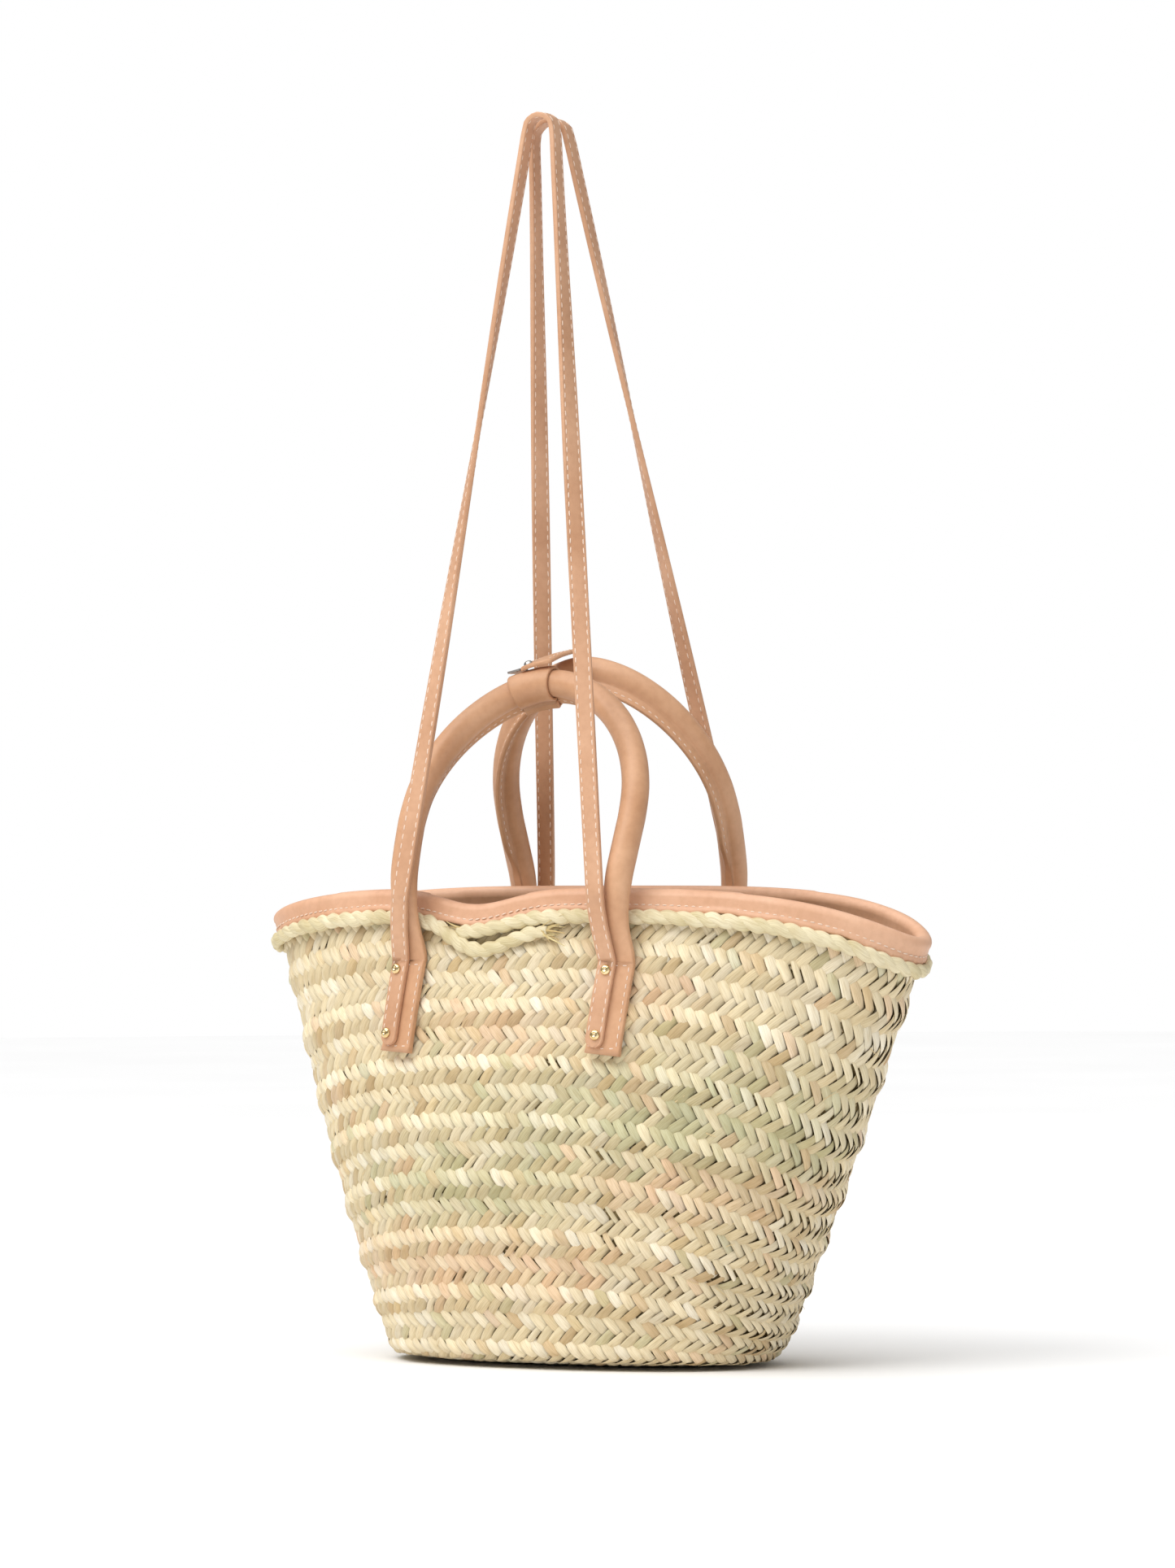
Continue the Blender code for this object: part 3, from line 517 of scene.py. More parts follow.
def thread_look():
    """Waxed cream thread with its twist, with painted shade in the grooves of the twist."""
    n = Nodes("thread")
    turned = n.grain(Rotation=(0.0, 0.0, 0.7), Scale=(2600.0, 2600.0, 1.0))
    ply = n.texture("Wave", turned, Scale=0.35, Distortion=0.8)
    fuzz = n.texture("Noise", n.place(), Scale=1800.0)
    # Painted shade: the colour darkens where the twist's bump is low
    colour = n.ramp(ply, [(0.1, srgb(222, 190, 166)), (0.8, srgb(252, 232, 214))])
    return n.finish(colour, n.spread(fuzz, 0.5, 0.75), ply, 0.4, 0.0002)


def metal_look(name, light, dark, roughness):
    """Plated metal with faint wear."""
    n = Nodes(name)
    place = n.place()
    wear = n.texture("Noise", place, Scale=420.0, Detail=4.0)
    fine = n.texture("Noise", place, Scale=2500.0, Detail=2.0)
    n.shader.inputs["Metallic"].default_value = 1.0
    colour = n.ramp(wear, [(0.3, dark), (0.6, light)])
    return n.finish(colour, n.spread(wear, *roughness), fine, 0.08, 0.00005)


def cord_look():
    """Plain cotton core rope, with painted shade in the grooves of its twist."""
    n = Nodes("cotton_core")
    place = n.place()
    twist = n.texture("Wave", place, Scale=90.0, Distortion=1.5)
    fuzz = n.texture("Noise", place, Scale=900.0, Detail=3.0)
    # Painted shade: the colour darkens where the twist's bump is low
    colour = n.ramp(twist, [(0.1, srgb(176, 156, 128)), (0.8, srgb(226, 212, 186))])
    return n.finish(colour, n.spread(fuzz, 0.8, 0.95), twist, 0.6, 0.0006)


def shadow_look():
    """Painted shadow for the deep gaps between the strips: brown, fibrous and dull."""
    n = Nodes("gap_painted_shadow")
    fibre = n.texture("Noise", n.place(), Scale=600.0, Detail=3.0)
    colour = n.ramp(fibre, [(0.3, srgb(96, 80, 46)), (0.7, srgb(146, 126, 82))])
    return n.finish(colour, n.spread(fibre, 0.75, 0.92), fibre, 0.5, 0.0004)


PALM = palm_look("palm_strip")
# The inside strips get a copy painted 7% darker: painted shade
PALM_INSIDE_PAINTED_SHADE = palm_look("palm_strip_inside_painted_shade", 0.93)
GAP_PAINTED_SHADOW = shadow_look()
HIDE = leather_look("handle_leather", srgb(218, 171, 134), srgb(196, 146, 108))
STRAP_HIDE = leather_look("strap_leather", srgb(214, 168, 134), srgb(194, 145, 110), (0.42, 0.6), 0.34)
BINDING_HIDE = leather_look("binding_leather_look", srgb(226, 180, 148), srgb(212, 162, 128))
PATCH_HIDE = leather_look("patch_leather", srgb(214, 168, 134), srgb(196, 146, 112), (0.55, 0.75), 0.4)
THREAD = thread_look()
GOLD = metal_look("pale_gold", srgb(240, 218, 170), srgb(214, 184, 128), (0.14, 0.28))
STEEL = metal_look("satin_nickel", srgb(196, 194, 190), srgb(150, 149, 147), (0.22, 0.38))
COTTON = cord_look()


# ---------------------------------------------------------------- weave

CREAM, PALE, TAN = srgb(237, 223, 190), srgb(247, 239, 219), srgb(210, 184, 144)
GREEN, ROSE, GOLDEN = srgb(192, 192, 152), srgb(230, 193, 158), srgb(226, 204, 158)
# Painted highlight and shade for the four rows: rows 0 and 2 are painted brighter, rows 1 and 3 darker and
# browner, as light from above would make them
ROW_PAINTED_SHADES = ((1.04, 1.03, 1.02), (0.92, 0.89, 0.83), (0.98, 0.97, 0.95), (0.85, 0.80, 0.71))
GREEN_SPOTS = ((0.075, 0.150, 0.10, 0.028), (0.15, 0.135, 0.07, 0.03), (-0.02, 0.105, 0.08, 0.02))
ROSE_SPOTS = ((-0.01, 0.197, 0.055, 0.010), (-0.04, 0.060, 0.09, 0.016), (0.11, 0.105, 0.06, 0.014),
              (0.08, 0.218, 0.03, 0.010))


def spot(x, z, spots):
    total = 0.0
    for centre_x, centre_z, wide, high in spots:
        total = total + np.exp(-((x - centre_x) / wide) ** 2 - ((z - centre_z) / high) ** 2)
    return np.clip(total, 0, 1)


def strip_colours(centre, pool_seed, local):
    """A colour for each strip: mostly cream, some paler or browner, with green and rose areas."""
    n = len(centre)
    pick = np.random.default_rng(pool_seed).random(TONE_POOL)[local.integers(0, TONE_POOL, n)]
    tone = local.random(n)
    colour = np.array(CREAM) * np.ones((n, 1))
    for limit, other in ((0.34, PALE), (0.14, GOLDEN), (0.10, TAN)):
        share = (tone < limit)[:, None] * local.uniform(0.35, 0.9, (n, 1))
        colour = mix(colour, np.array(other), share)
    x, z = centre[:, 0] * np.where(centre[:, 1] < 0, 1, -1), centre[:, 2]
    for spots, stray, other in ((GREEN_SPOTS, pick < 0.05, GREEN), (ROSE_SPOTS, pick > 0.955, ROSE)):
        share = spot(x, z, spots) * local.uniform(0.1, 0.95, n) + 0.5 * stray
        colour = mix(colour, np.array(other), np.clip(share, 0, 0.8)[:, None])
    return colour * local.uniform(0.88, 1.04, (n, 1))


def braid_table(braid):
    """Angles against length round the basket in the middle of a braid, and its strand count."""
    middle = BRAID_START + (braid + 0.5) * BRAID_SHARE
    angle = np.linspace(0, 2 * math.pi, 1441)
    ring = skin_point(angle, row_level(angle, np.full_like(angle, middle)))
    reach = lengths_along(ring)
    return angle, reach / reach[-1], max(FEWEST_STRANDS, round(reach[-1] / PITCH))


def weave_strips(braids, inset, seed, stations, inside=False):
    """Points, grain and colours of every strip of the given braids."""
    local = np.random.default_rng(seed)
    slant = math.atan(SLOPE)
    step = PITCH / 2 / math.cos(slant)
    nominal = len(ROW_PAINTED_SHADES) * PITCH * SLOPE
    across, edge_drop = np.array(INSIDE_SECTION if inside else OUTSIDE_SECTION)
    xi = np.linspace(-1.5, 1.5, stations)[:, None]
    run = xi * step
    taper = 1 - 0.12 * np.abs(xi / 1.5) ** 3
    over_and_under = np.tanh(1.5 * np.cos(np.pi * xi / 2)) / math.tanh(1.5)
    strips = []
    for braid in braids:
        angles, fractions, count = braid_table(braid)
        each = (count, 1, 1)
        for row, row_painted_shade in enumerate(ROW_PAINTED_SHADES):
            lean = -1 if row % 2 == 0 else 1
            u = np.arange(count).reshape(each) + 0.5 * (row % 2) + 0.5 * inside
            u = (u + lean * (2 * row + 1) / 2) * PITCH + local.normal(0, SLIP_ALONG, each)
            high = (2 * row + 1) * PITCH * SLOPE / 2 + local.normal(0, SLIP_UP, each)
            turned = slant + local.normal(0, TURN_SPREAD, each)
            width = STRIP_WIDTH * local.uniform(*WIDTH_RANGE, each)
            split = local.random(each) < SPLIT_SHARE
            width = np.where(split, width * local.uniform(*SPLIT_RANGE, each), width)
            wave = WAVE_HEIGHT * local.uniform(*WAVE_RANGE, each)
            roll = local.normal(0, ROLL_SPREAD, each)
            cross = across * width * taper
            along_u = u + lean * (run * np.cos(turned) - cross * np.sin(turned))
            along_z = high + run * np.sin(turned) + cross * np.cos(turned)
            angle = np.interp((along_u / (count * PITCH)) % 1.0, fractions, angles)
            level = row_level(angle, BRAID_START + (braid + along_z / nominal) * BRAID_SHARE)
            ridge = RIDGE * (0.5 + 0.5 * np.cos(2 * np.pi * along_z / nominal)) ** 2.2
            depth = -inset + (0.0 if inside else ridge) - base_lift(level)
            lift = wave * over_and_under + CROWN * edge_drop * (0.6 + 0.4 * taper)
            lift = lift + (roll + lean * ROW_TILT) * across
            depth = depth + (-lift if inside else lift)
            points = skin_point(angle, level) + skin_normal(angle, level) * depth[..., None]
            centre = points[:, stations // 2, len(across) // 2]
            # Painted highlight and shade: the row's factor lightens or darkens the strip's own colour
            colour = strip_colours(centre, seed + braid, local) * np.array(row_painted_shade)
            offset = local.uniform(0, 5, each)
            grain = np.stack(np.broadcast_arrays(run + offset, cross + offset * 0.7), -1)
            strips.append((points, grain, np.broadcast_to(colour[:, None, None], points.shape)))
    return [np.concatenate(part) for part in zip(*strips)]


def weave_object(name, braids, inset, seed, stations, look, inside=False):
    parts = weave_strips(braids, inset, seed, stations, inside)
    if inside:
        parts = [part[:, :, ::-1] for part in parts]
    points, grain, tint = parts
    made = grid_mesh(name, points, grain, look, tint)
    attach(made, "basket")
    return made


def weave_core():
    """A brown sheet between the two faces of the braid, painted shadow seen only through the gaps."""
    angle = np.linspace(0, 2 * math.pi, 241)[:-1]
    rings = []
    for share in np.linspace(BRAID_START + FIRST_BRAID * BRAID_SHARE * 0.9, 0.985, 60):
        level = row_level(angle, np.full_like(angle, share))
        depth = CORE_INSET + base_lift(level)
        rings.append(skin_point(angle, level) - skin_normal(angle, level) * depth[:, None])
    made = swept("weave_core", rings, GAP_PAINTED_SHADOW, caps=False)
    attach(made, "basket")


def loose_fibres():
    """Thin frayed ends that stand a little off the weave."""
    local = np.random.default_rng(31)
    angle = local.uniform(0, 2 * math.pi, FIBRE_COUNT)
    share = local.uniform(0.03, 0.9, FIBRE_COUNT)
    heading = local.uniform(0.3, 1.1, FIBRE_COUNT) * local.choice([-1, 1], FIBRE_COUNT)
    length = local.uniform(0.004, 0.011, FIBRE_COUNT)
    s = np.linspace(0, 1, 5)
    level = row_level(angle, share)
    normal = skin_normal(angle, level)
    level_up = unit(np.cross(normal, np.cross(np.array([0, 0, 1.0]), normal)))
    sideways = unit(np.cross(level_up, normal))
    way = sideways * np.cos(heading)[:, None] + level_up * np.sin(heading)[:, None]
    over = unit(np.cross(normal, way))
    lift = (-0.0009 + 0.0022 * s ** 2) * local.uniform(0.5, 1.2, (FIBRE_COUNT, 1))
    path = (skin_point(angle, level)[:, None] + way[:, None] * (length[:, None] * (s - 0.5))[..., None]
            + normal[:, None] * lift[..., None])
    half = (0.00035 * (1 - 0.6 * s))[:, None, None] * np.array([-1, 1])[:, None]
    points = path[:, :, None] + over[:, None, None] * half
    grain = np.zeros((*points.shape[:3], 2))
    grain[..., 0] = s[:, None] * 0.01
    grain[..., 1] = (0, 0.0007)
    tint = np.broadcast_to(np.array(GOLDEN) * 0.95, points.shape)
    made = grid_mesh("weave_loose_fibres", points, grain, PALM, tint)
    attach(made, "basket")


def make_weave():
    lower = weave_object("weave_lower", range(0, 4), OUTER_INSET, 11, 9, PALM)
    weave_object("weave_upper", range(4, LAST_BRAID + 1), OUTER_INSET, 12, 9, PALM)
    weave_object("weave_base", range(FIRST_BRAID, 0), OUTER_INSET, 13, 7, PALM)
    weave_object("weave_inside", range(FIRST_BRAID, LAST_BRAID + 1), INNER_INSET, 14, 7, PALM_INSIDE_PAINTED_SHADE, True)
    weave_core()
    loose_fibres()
    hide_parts("woven_body")


# ---------------------------------------------------------------- edge rope and binding

def front_angle(x):
    return -math.acos(max(-1.0, min(1.0, x / (RIM_RIGHT if x > 0 else RIM_LEFT))))


def rope_path(count):
    """Centres, outward directions and angles along the rope, from its start to its frayed end."""
    start = front_angle(ROPE_START_X)
    dip_from = front_angle(-ANCHOR_X + TAB_WIDTH / 2) + 2 * math.pi
    finish = front_angle(ROPE_TAIL_END_X) + 2 * math.pi
    low = mix(dip_from, finish, 0.55)
    angle = np.linspace(start, finish, count)
    dip = ROPE_TAIL_DIP * smooth((angle - dip_from) / (low - dip_from))
    dip = dip - ROPE_TAIL_RISE * smooth((angle - low) / (finish - low))
    z = rim_height(angle) - (BINDING_DROP + SNUG + ROPE_RADIUS) - dip
    normal = skin_normal(angle, z)
    centre = skin_point(angle, z) + normal * (ROPE_RADIUS + SNUG)
    return centre, normal, angle


def make_edge_rope():
    """Palm leaf twisted in two plies, laid right round under the binding, with a frayed free end."""
    centre, outward, angle = rope_path(1500)
    reach = lengths_along(centre)
    along = unit(np.gradient(centre, axis=0))
    up = unit(np.cross(along, outward))
    up = up * np.sign(up[:, 2:3])
    ripple = 1 + 0.05 * wobble(angle, 40, 5)
    ends = smooth(reach / 0.006) * smooth((reach[-1] - reach) / 0.010)
    turn = np.arange(PLY_POINTS) * 2 * math.pi / PLY_POINTS
    crease = 1 - 0.07 * (np.cos(3 * turn) > 0.4)
    parts = []
    for ply in range(2):
        psi = 2 * math.pi * reach / ROPE_LAY + math.pi * ply
        middle = (centre + outward * (np.cos(psi) * (ROPE_HALF_DEEP - PLY_DEEP))[:, None]
                  - up * (np.sin(psi) * (ROPE_HALF_HIGH * ripple - PLY_HIGH))[:, None])
        size = (1.16 + 0.10 * np.sin(psi * 0.5 + ply)) * (0.55 + 0.45 * ends)
        rings = (middle[:, None]
                 + outward[:, None] * (PLY_DEEP * size[:, None] * np.cos(turn) * crease)[..., None]
                 + up[:, None] * (PLY_HIGH * size[:, None] * np.sin(turn) * crease)[..., None])
        part = swept(f"edge_ply_{ply}", rings, PALM)
        shade = np.random.default_rng(50 + ply).normal(0, 1, 90)
        blotch = np.interp(reach, np.linspace(0, reach[-1], 90), shade)
        tint = mix(np.array(srgb(232, 221, 188)), np.array(srgb(210, 196, 154)),
                   np.clip(0.5 + 0.35 * blotch, 0, 1)[:, None])
        paint(part.data, np.repeat(tint, PLY_POINTS, axis=0))
        parts.append(part)
    parts.append(frayed_end(centre[-1], along[-1], outward[-1], up[-1]))
    parts.append(frayed_end(centre[0], -along[0], outward[0], up[0], spread=0.4, count=9))
    made = joined("edge_rope", parts)
    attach(made, "basket")
    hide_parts("edge_braid")


def frayed_end(tip, ahead, outward, up, spread=1.0, count=22):
    """A spray of split leaf at a rope's end."""
    local = np.random.default_rng(count)
    s = np.linspace(0, 1, 7)
    way = ahead + up * local.normal(0, 0.45 * spread, (count, 1))
    way = unit(way + outward * local.normal(0, 0.1, (count, 1)))
    length = local.uniform(0.006, 0.019, (count, 1, 1)) * (0.5 + 0.5 * spread)
    begin = tip - ahead * 0.004 + up * local.uniform(-0.0025, 0.0025, (count, 1))
    begin = begin + outward * local.uniform(-0.0010, 0.0014, (count, 1))
    curl = local.normal(0, 0.0025, (count, 1, 1))
    path = begin[:, None] + way[:, None] * length * s[:, None] + up * curl * (s ** 2)[:, None]
    half = local.uniform(0.0003, 0.0009, (count, 1, 1, 1)) * (1 - 0.7 * s)[:, None, None]
    side = unit(np.cross(way, outward))
    points = path[:, :, None] + side[:, None, None] * half * np.array([-1, 0, 1])[:, None]
    points[:, :, 1] += outward * 0.0002
    grain = np.zeros((count, 7, 3, 2))
    grain[..., 0] = s[:, None] * 0.012 + local.uniform(0, 3, (count, 1, 1))
    grain[..., 1] = (0, 0.0005, 0.001)
    tint = mix(np.array(srgb(222, 205, 150)), np.array(srgb(190, 160, 104)), local.random((count, 1, 1, 1)))
    return grid_mesh("frayed", points, grain, PALM, np.broadcast_to(tint, points.shape))


def binding_section():
    """The folded leather's outline as (offset from the wall's outside, height from the rim)."""
    drop = -BINDING_DROP
    face = [(-0.0009, drop - 0.0001), (-0.0003, drop - 0.0003), (0.0, drop + 0.0006), (0.0001, -0.0088),
            (-0.0001, -0.0076), (-0.0006, -0.0066), (-0.0004, -0.0057)]
    points = [(OUTER_FACE + out, z) for out, z in face]
    for i in range(13):
        turn = mix(math.radians(-28), math.radians(208), i / 12)
        points.append((-WALL / 2 + BEAD_RADIUS * math.cos(turn),
                       -BEAD_DROP + BEAD_RADIUS * BEAD_FLATTENING * math.sin(turn)))
    points += [(INNER_FACE - out, z) for out, z in face[::-1]]
    points += [(INNER_FACE + 0.0014, drop + 0.001), (INNER_FACE + 0.0015, -0.004),
               (OUTER_FACE - 0.0015, -0.004), (OUTER_FACE - 0.0014, drop + 0.001)]
    return points


def make_binding():
    """Peach leather folded over the rim, with a rolled top and one stitched line on each face."""
    angle = np.linspace(0, 2 * math.pi, 721)[:-1]
    ripple = 0.00035 * wobble(angle, 26, 3)
    edge_ripple = 0.0005 * wobble(angle, 40, 4)
    pucker = PUCKER_HEIGHT * np.cos(angle * PUCKERS_PER_RADIAN)
    rings = []
    for offset, rise in binding_section():
        low = np.clip(-rise / BINDING_DROP, 0, 1)
        z = rim_height(angle) + rise + edge_ripple * low
        push = ripple * (0.4 + 0.6 * low) * (1 if offset > -WALL / 2 else -1) + pucker * low
        rings.append(skin_point(angle, z) + skin_normal(angle, z) * (offset + push)[:, None])
    leather = swept("binding_leather", np.stack(rings, 1), BINDING_HIDE, closed=True)
    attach(leather, "basket")
    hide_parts("rim_binding")
    z = rim_height(angle) - BINDING_STITCH_DROP
    normal = skin_normal(angle, z)
    places = []
    for offset, sign in ((OUTER_FACE - 0.00035, 1), (INNER_FACE + 0.00035, -1)):
        line = skin_point(angle, z) + normal * offset
        out = normal * sign
        places += dashes_on(np.concatenate([line, line[:1]]), np.concatenate([out, out[:1]]), BINDING_PITCH)
    thread = stitches("binding_stitches", places, *BINDING_STITCH, BINDING_STITCH_SLANT)
    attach(thread, "basket")


# ---------------------------------------------------------------- handles

def tab_x(anchor_x, z, side):
    return anchor_x + side * TAB_SLANT * (TAB_TOP - z) / TAB_LENGTH


def strap_x(anchor_x, side):
    return anchor_x - side * STRAP_OFFSET_X


def layer_offsets():
    tab_far = SNUG + TAB_THICKNESS
    return SNUG, tab_far, tab_far + GAP, tab_far + GAP + STRAP_THICKNESS


def mean_reach(z, offset):
    left, right = (side_point(x, z, BACK, offset)[1] for x in (-ANCHOR_X, ANCHOR_X))
    return (left + right) / 2


def skew():
    left, right = (side_point(x, TAB_TOP, BACK)[1] for x in (-ANCHOR_X, ANCHOR_X))
    return math.atan2(right - left, 2 * ANCHOR_X)


def turned_to(side, points):
    return turn_z(points, -skew() if side == FRONT else math.pi + skew())


def leg_thickness(z):
    return mix(TAB_THICKNESS, HANDLE_DIAMETER, smooth((z - TAB_TOP) / (HEIGHT + 0.020 - TAB_TOP)))


def leg_reach(z, apex_z):
    start = mean_reach(TAB_TOP, SNUG + TAB_THICKNESS / 2)
    rope_z = HEIGHT - (BINDING_DROP + SNUG + ROPE_RADIUS)
    over_rope = mean_reach(rope_z, 2 * ROPE_RADIUS + 2 * SNUG)
    outermost = over_rope + leg_thickness(rope_z) / 2 + SNUG
    top = HEIGHT + 0.004
    if z < top:
        return mix(start, outermost, smooth((z - TAB_TOP) / (rope_z - TAB_TOP)))
    return mix(outermost, APEX_Y, ((z - top) / (apex_z - top)) ** LEAN_POWER)


def leg_x(z):
    return ANCHOR_X + LEG_SPREAD * smooth((z - TAB_TOP) / (ARCH_START_Z - TAB_TOP))


def handle_line(side):
    """Centres along a handle in a front view, from its left tab over the arch to its right tab."""
    apex_z = FRONT_APEX_Z if side == FRONT else BACK_APEX_Z
    leg = [TAB_TOP + GAP]
    leg += [TAB_TOP + rise for rise in (0.005, 0.011, 0.017, 0.026, 0.038)]
    leg += [mix(leg[-1], ARCH_START_Z, i / 4) for i in range(1, 4)]
    arch = [math.pi * i / 16 for i in range(17)]
    heights = leg + [ARCH_START_Z + (apex_z - ARCH_START_Z) * math.sin(a) for a in arch] + leg[::-1]
    span = [leg_x(ARCH_START_Z) * abs(math.cos(a)) ** ARCH_POWER for a in arch]
    widths = [-leg_x(z) for z in leg] + [math.copysign(w, a - math.pi / 2) for w, a in zip(span, arch)]
    widths += [leg_x(z) for z in leg[::-1]]
    return [np.array((x, -leg_reach(z, apex_z), z)) for x, z in zip(widths, heights)]


def handle_outline(width, thick, square, reach):
    """The section as (sideways, inward) pairs: a rolled tube whose sewn flange stands inward."""
    points = []
    for i in range(ROUND_POINTS):
        turn = math.radians(mix(106, 434, i / (ROUND_POINTS - 1)))
        c, s = math.cos(turn), math.sin(turn)
        points.append((width * math.copysign(abs(c) ** square, c),
                       thick * math.copysign(abs(s) ** square, s)))
    share = reach / HANDLE_FLANGE
    half = FLANGE_THICKNESS / 2
    tip = thick + reach
    edge = [(0.0, tip - 0.0003 * share), (half * 0.62, tip), (half, tip - 0.0008 * share),
            (half + 0.0001, thick + 0.3 * reach), (half + 0.0009, thick + 0.0004 * share)]
    return np.array(points + both_ways(edge)[::-1])


def with_ends(frames, side, end_frames):
    """Turns frames made in a front view to their side, and runs them on from their riveted ends."""
    for item in frames:
        item[:3] = [turned_to(side, value) for value in item[:3]]
    left_x = -ANCHOR_X if side == FRONT else ANCHOR_X
    left, right = end_frames(side, left_x, 1), end_frames(side, -left_x, -1)
    meet(frames, left[-1], right[-1])
    return left + frames + right[::-1]


def start_upright(centre, ahead):
    """The direction along a piece, made plumb where it leaves its riveted end."""
    if centre[2] < TAB_TOP + 2 * GAP:
        return np.array([0, 0, math.copysign(1, ahead[2])])
    return ahead


def handle_frames(side):
    """Centre, sideways, inward, width, thickness, squareness and flange reach along a whole handle."""
    line = curve_through(handle_line(side), 5)
    frames = []
    for centre, ahead in zip(line, unit(np.gradient(line, axis=0))):
        ahead = start_upright(centre, ahead)
        z = centre[2]
        turn = FLANGE_TURN * max(0.0, (z - HEIGHT) / (FRONT_APEX_Z - HEIGHT))
        inward = np.array([0, math.cos(turn), -math.sin(turn)])
        inward = unit(inward - ahead * inward.dot(ahead))
        rise = float(smooth((z - TAB_TOP) / 0.03))
        reach = HANDLE_FLANGE * float(smooth((z - HEIGHT - 0.012) / 0.022))
        frames.append([centre, np.cross(inward, ahead), inward, mix(TAB_WIDTH, HANDLE_DIAMETER, rise) / 2,
                       float(leg_thickness(z)) / 2, mix(TAB_SQUARENESS, 1.0, rise), reach])
    return with_ends(frames, side, tab_frames)


def uphill(x_at, z, side):
    """The direction up the wall along a line whose x is x_at(z)."""
    above, below = (side_point(x_at(z + step), z + step, side) for step in (0.002, -0.002))
    return unit(above - below)


def tab_frames(side, anchor_x, sense):
    """The flat riveted end as frames from its bottom to its top."""
    def x_at(z):
        return tab_x(anchor_x, z, side)

    frames = []
    for z in np.linspace(TAB_TOP - TAB_LENGTH, TAB_TOP - 0.0002, 15):
        outward = wall_normal(side_point(x_at(z), z, side))
        lip = float(smooth((TAB_TOP - TAB_LENGTH + 0.0045 - z) / 0.0035))
        foot = side_point(x_at(z), z, side, SNUG + TAB_THICKNESS / 2) + outward * TAB_LIP * lip
        frames.append([foot, unit(np.cross(-outward, uphill(x_at, z, side) * sense)), -outward,
                       TAB_WIDTH / 2 * (1 + 0.02 * lip), TAB_THICKNESS / 2 + TAB_LIP * lip,
                       TAB_SQUARENESS, 0.0])
    return frames


def meet(frames, left, right):
    """Shifts the two ends of the frames so that they run on from the tabs."""
    for tab, end in ((left, frames[0]), (right, frames[-1])):
        shift = tab[0] - end[0]
        for item in frames:
            if (item[0][0] > 0) == (end[0][0] > 0):
                item[0] = item[0] + shift * (1 - float(smooth((item[0][2] - TAB_TOP) / 0.022)))


def outline_ring(item, grow=0.0):
    """The ring of one frame; grow widens its flange on each side."""
    centre, sideways, inward, width, thick, square, reach = item
    pairs = handle_outline(width, thick, square, reach)
    pairs[ROUND_POINTS:, 0] *= 1 + grow / (FLANGE_THICKNESS / 2)
    return centre + pairs[:, :1] * sideways + pairs[:, 1:] * inward


def bend_with(made, side):
    """Bakes a piece's placement into its mesh."""
    y = side * mean_reach(TAB_TOP, layer_offsets()[3])
    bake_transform(made)


def make_handle(label, side):
    frames = handle_frames(side)
    leather = swept(label + "_leather", [outline_ring(item) for item in frames], HIDE)
    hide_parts(label + "_cover", *(f"{label.split('_')[0]}_{end}_tab" for end in ("left", "right")))
    bend_with(leather, side)
    sewn = [item for item in frames if item[6] > 0.6 * HANDLE_FLANGE]
    places = []
    for sign in (-1, 1):
        line = np.array([centre + sideways * sign * (FLANGE_THICKNESS / 2 + 0.00005)
                         + inward * (thick + 0.55 * reach)
                         for centre, sideways, inward, _, thick, _, reach in sewn])
        places += dashes_on(line, np.array([item[1] * sign for item in sewn]), HANDLE_PITCH)
    for anchor_x in (-ANCHOR_X, ANCHOR_X):
        places += tab_stitches(side, anchor_x)
    thread = stitches(label + "_stitches", places, *LEATHER_STITCH)
    bend_with(thread, side)


def tab_stitches(side, anchor_x):
    """The sewn box on a tab."""
    top, bottom = TAB_TOP - 0.0022, TAB_TOP - TAB_LENGTH + 0.0036
    half = TAB_WIDTH / 2 - 0.0020
    far = layer_offsets()[1] + 0.0001
    runs = [[(x, z) for z in np.linspace(top, bottom, 12)] for x in (half, -half)]
    runs += [[(x, z) for x in np.linspace(-half, half, 8)] for z in (top, bottom)]
    places = []
    for run in runs:
        spots = [(tab_x(anchor_x, z, side) + x, z) for x, z in run]
        line = np.array([side_point(x, z, side, far) for x, z in spots])
        out = np.array([wall_normal(side_point(x, z, side)) for x, z in spots])
        places += dashes_on(line, out, TAB_PITCH)
    return places


# ---------------------------------------------------------------- straps

def strap_line(side):
    """Centres along a strap in its own side's view, and the height and middle of its fold."""
    peak_x, peak_z = (FRONT_APEX if side == FRONT else (-BACK_APEX[0], BACK_APEX[1]))
    fold_radius = STRAP_FOLD_RADIUS[0 if side == FRONT else 1]
    handle_apex = FRONT_APEX_Z if side == FRONT else BACK_APEX_Z
    half = STRAP_THICKNESS / 2
    start = mean_reach(TAB_TOP, layer_offsets()[2] + half)
    rope_z = HEIGHT - (BINDING_DROP + SNUG + ROPE_RADIUS)
    clear_z = HEIGHT + 0.012
    shoulder_z = peak_z - fold_radius
    y_top = -STRAP_SPACING

    def climb(foot_x, rim_x, shoulder_x):
        stops = [np.array((foot_x, -start, TAB_TOP + GAP))]
        for z in (TAB_TOP + 0.010, rope_z, HEIGHT - 0.005, clear_z):
            x = mix(foot_x, rim_x, (z - TAB_TOP) / (clear_z - TAB_TOP))
            clear = leg_reach(z, handle_apex) + leg_thickness(z) / 2 + STRAP_STANDOFF + half
            stops.append(np.array((x, -max(start, clear), z)))
        last = stops[-1]
        shoulder = np.array((shoulder_x, y_top, shoulder_z))
        return stops + [mix(last, shoulder, share) for share in (0.25, 0.5, 0.75, 0.93)]

    left = climb(-ANCHOR_X + STRAP_OFFSET_X, STRAP_RIM_INSET[0] - ANCHOR_X, peak_x - fold_radius)
    right = climb(ANCHOR_X + STRAP_OFFSET_X, ANCHOR_X - STRAP_RIM_INSET[1], peak_x + fold_radius)
    fold = [np.array((peak_x - fold_radius * math.cos(a), y_top, shoulder_z + fold_radius * math.sin(a)))
            for a in np.linspace(0, math.pi, 5)]
    return evenly(curve_through(left + fold + right[::-1], 12), 0.003), shoulder_z, peak_x


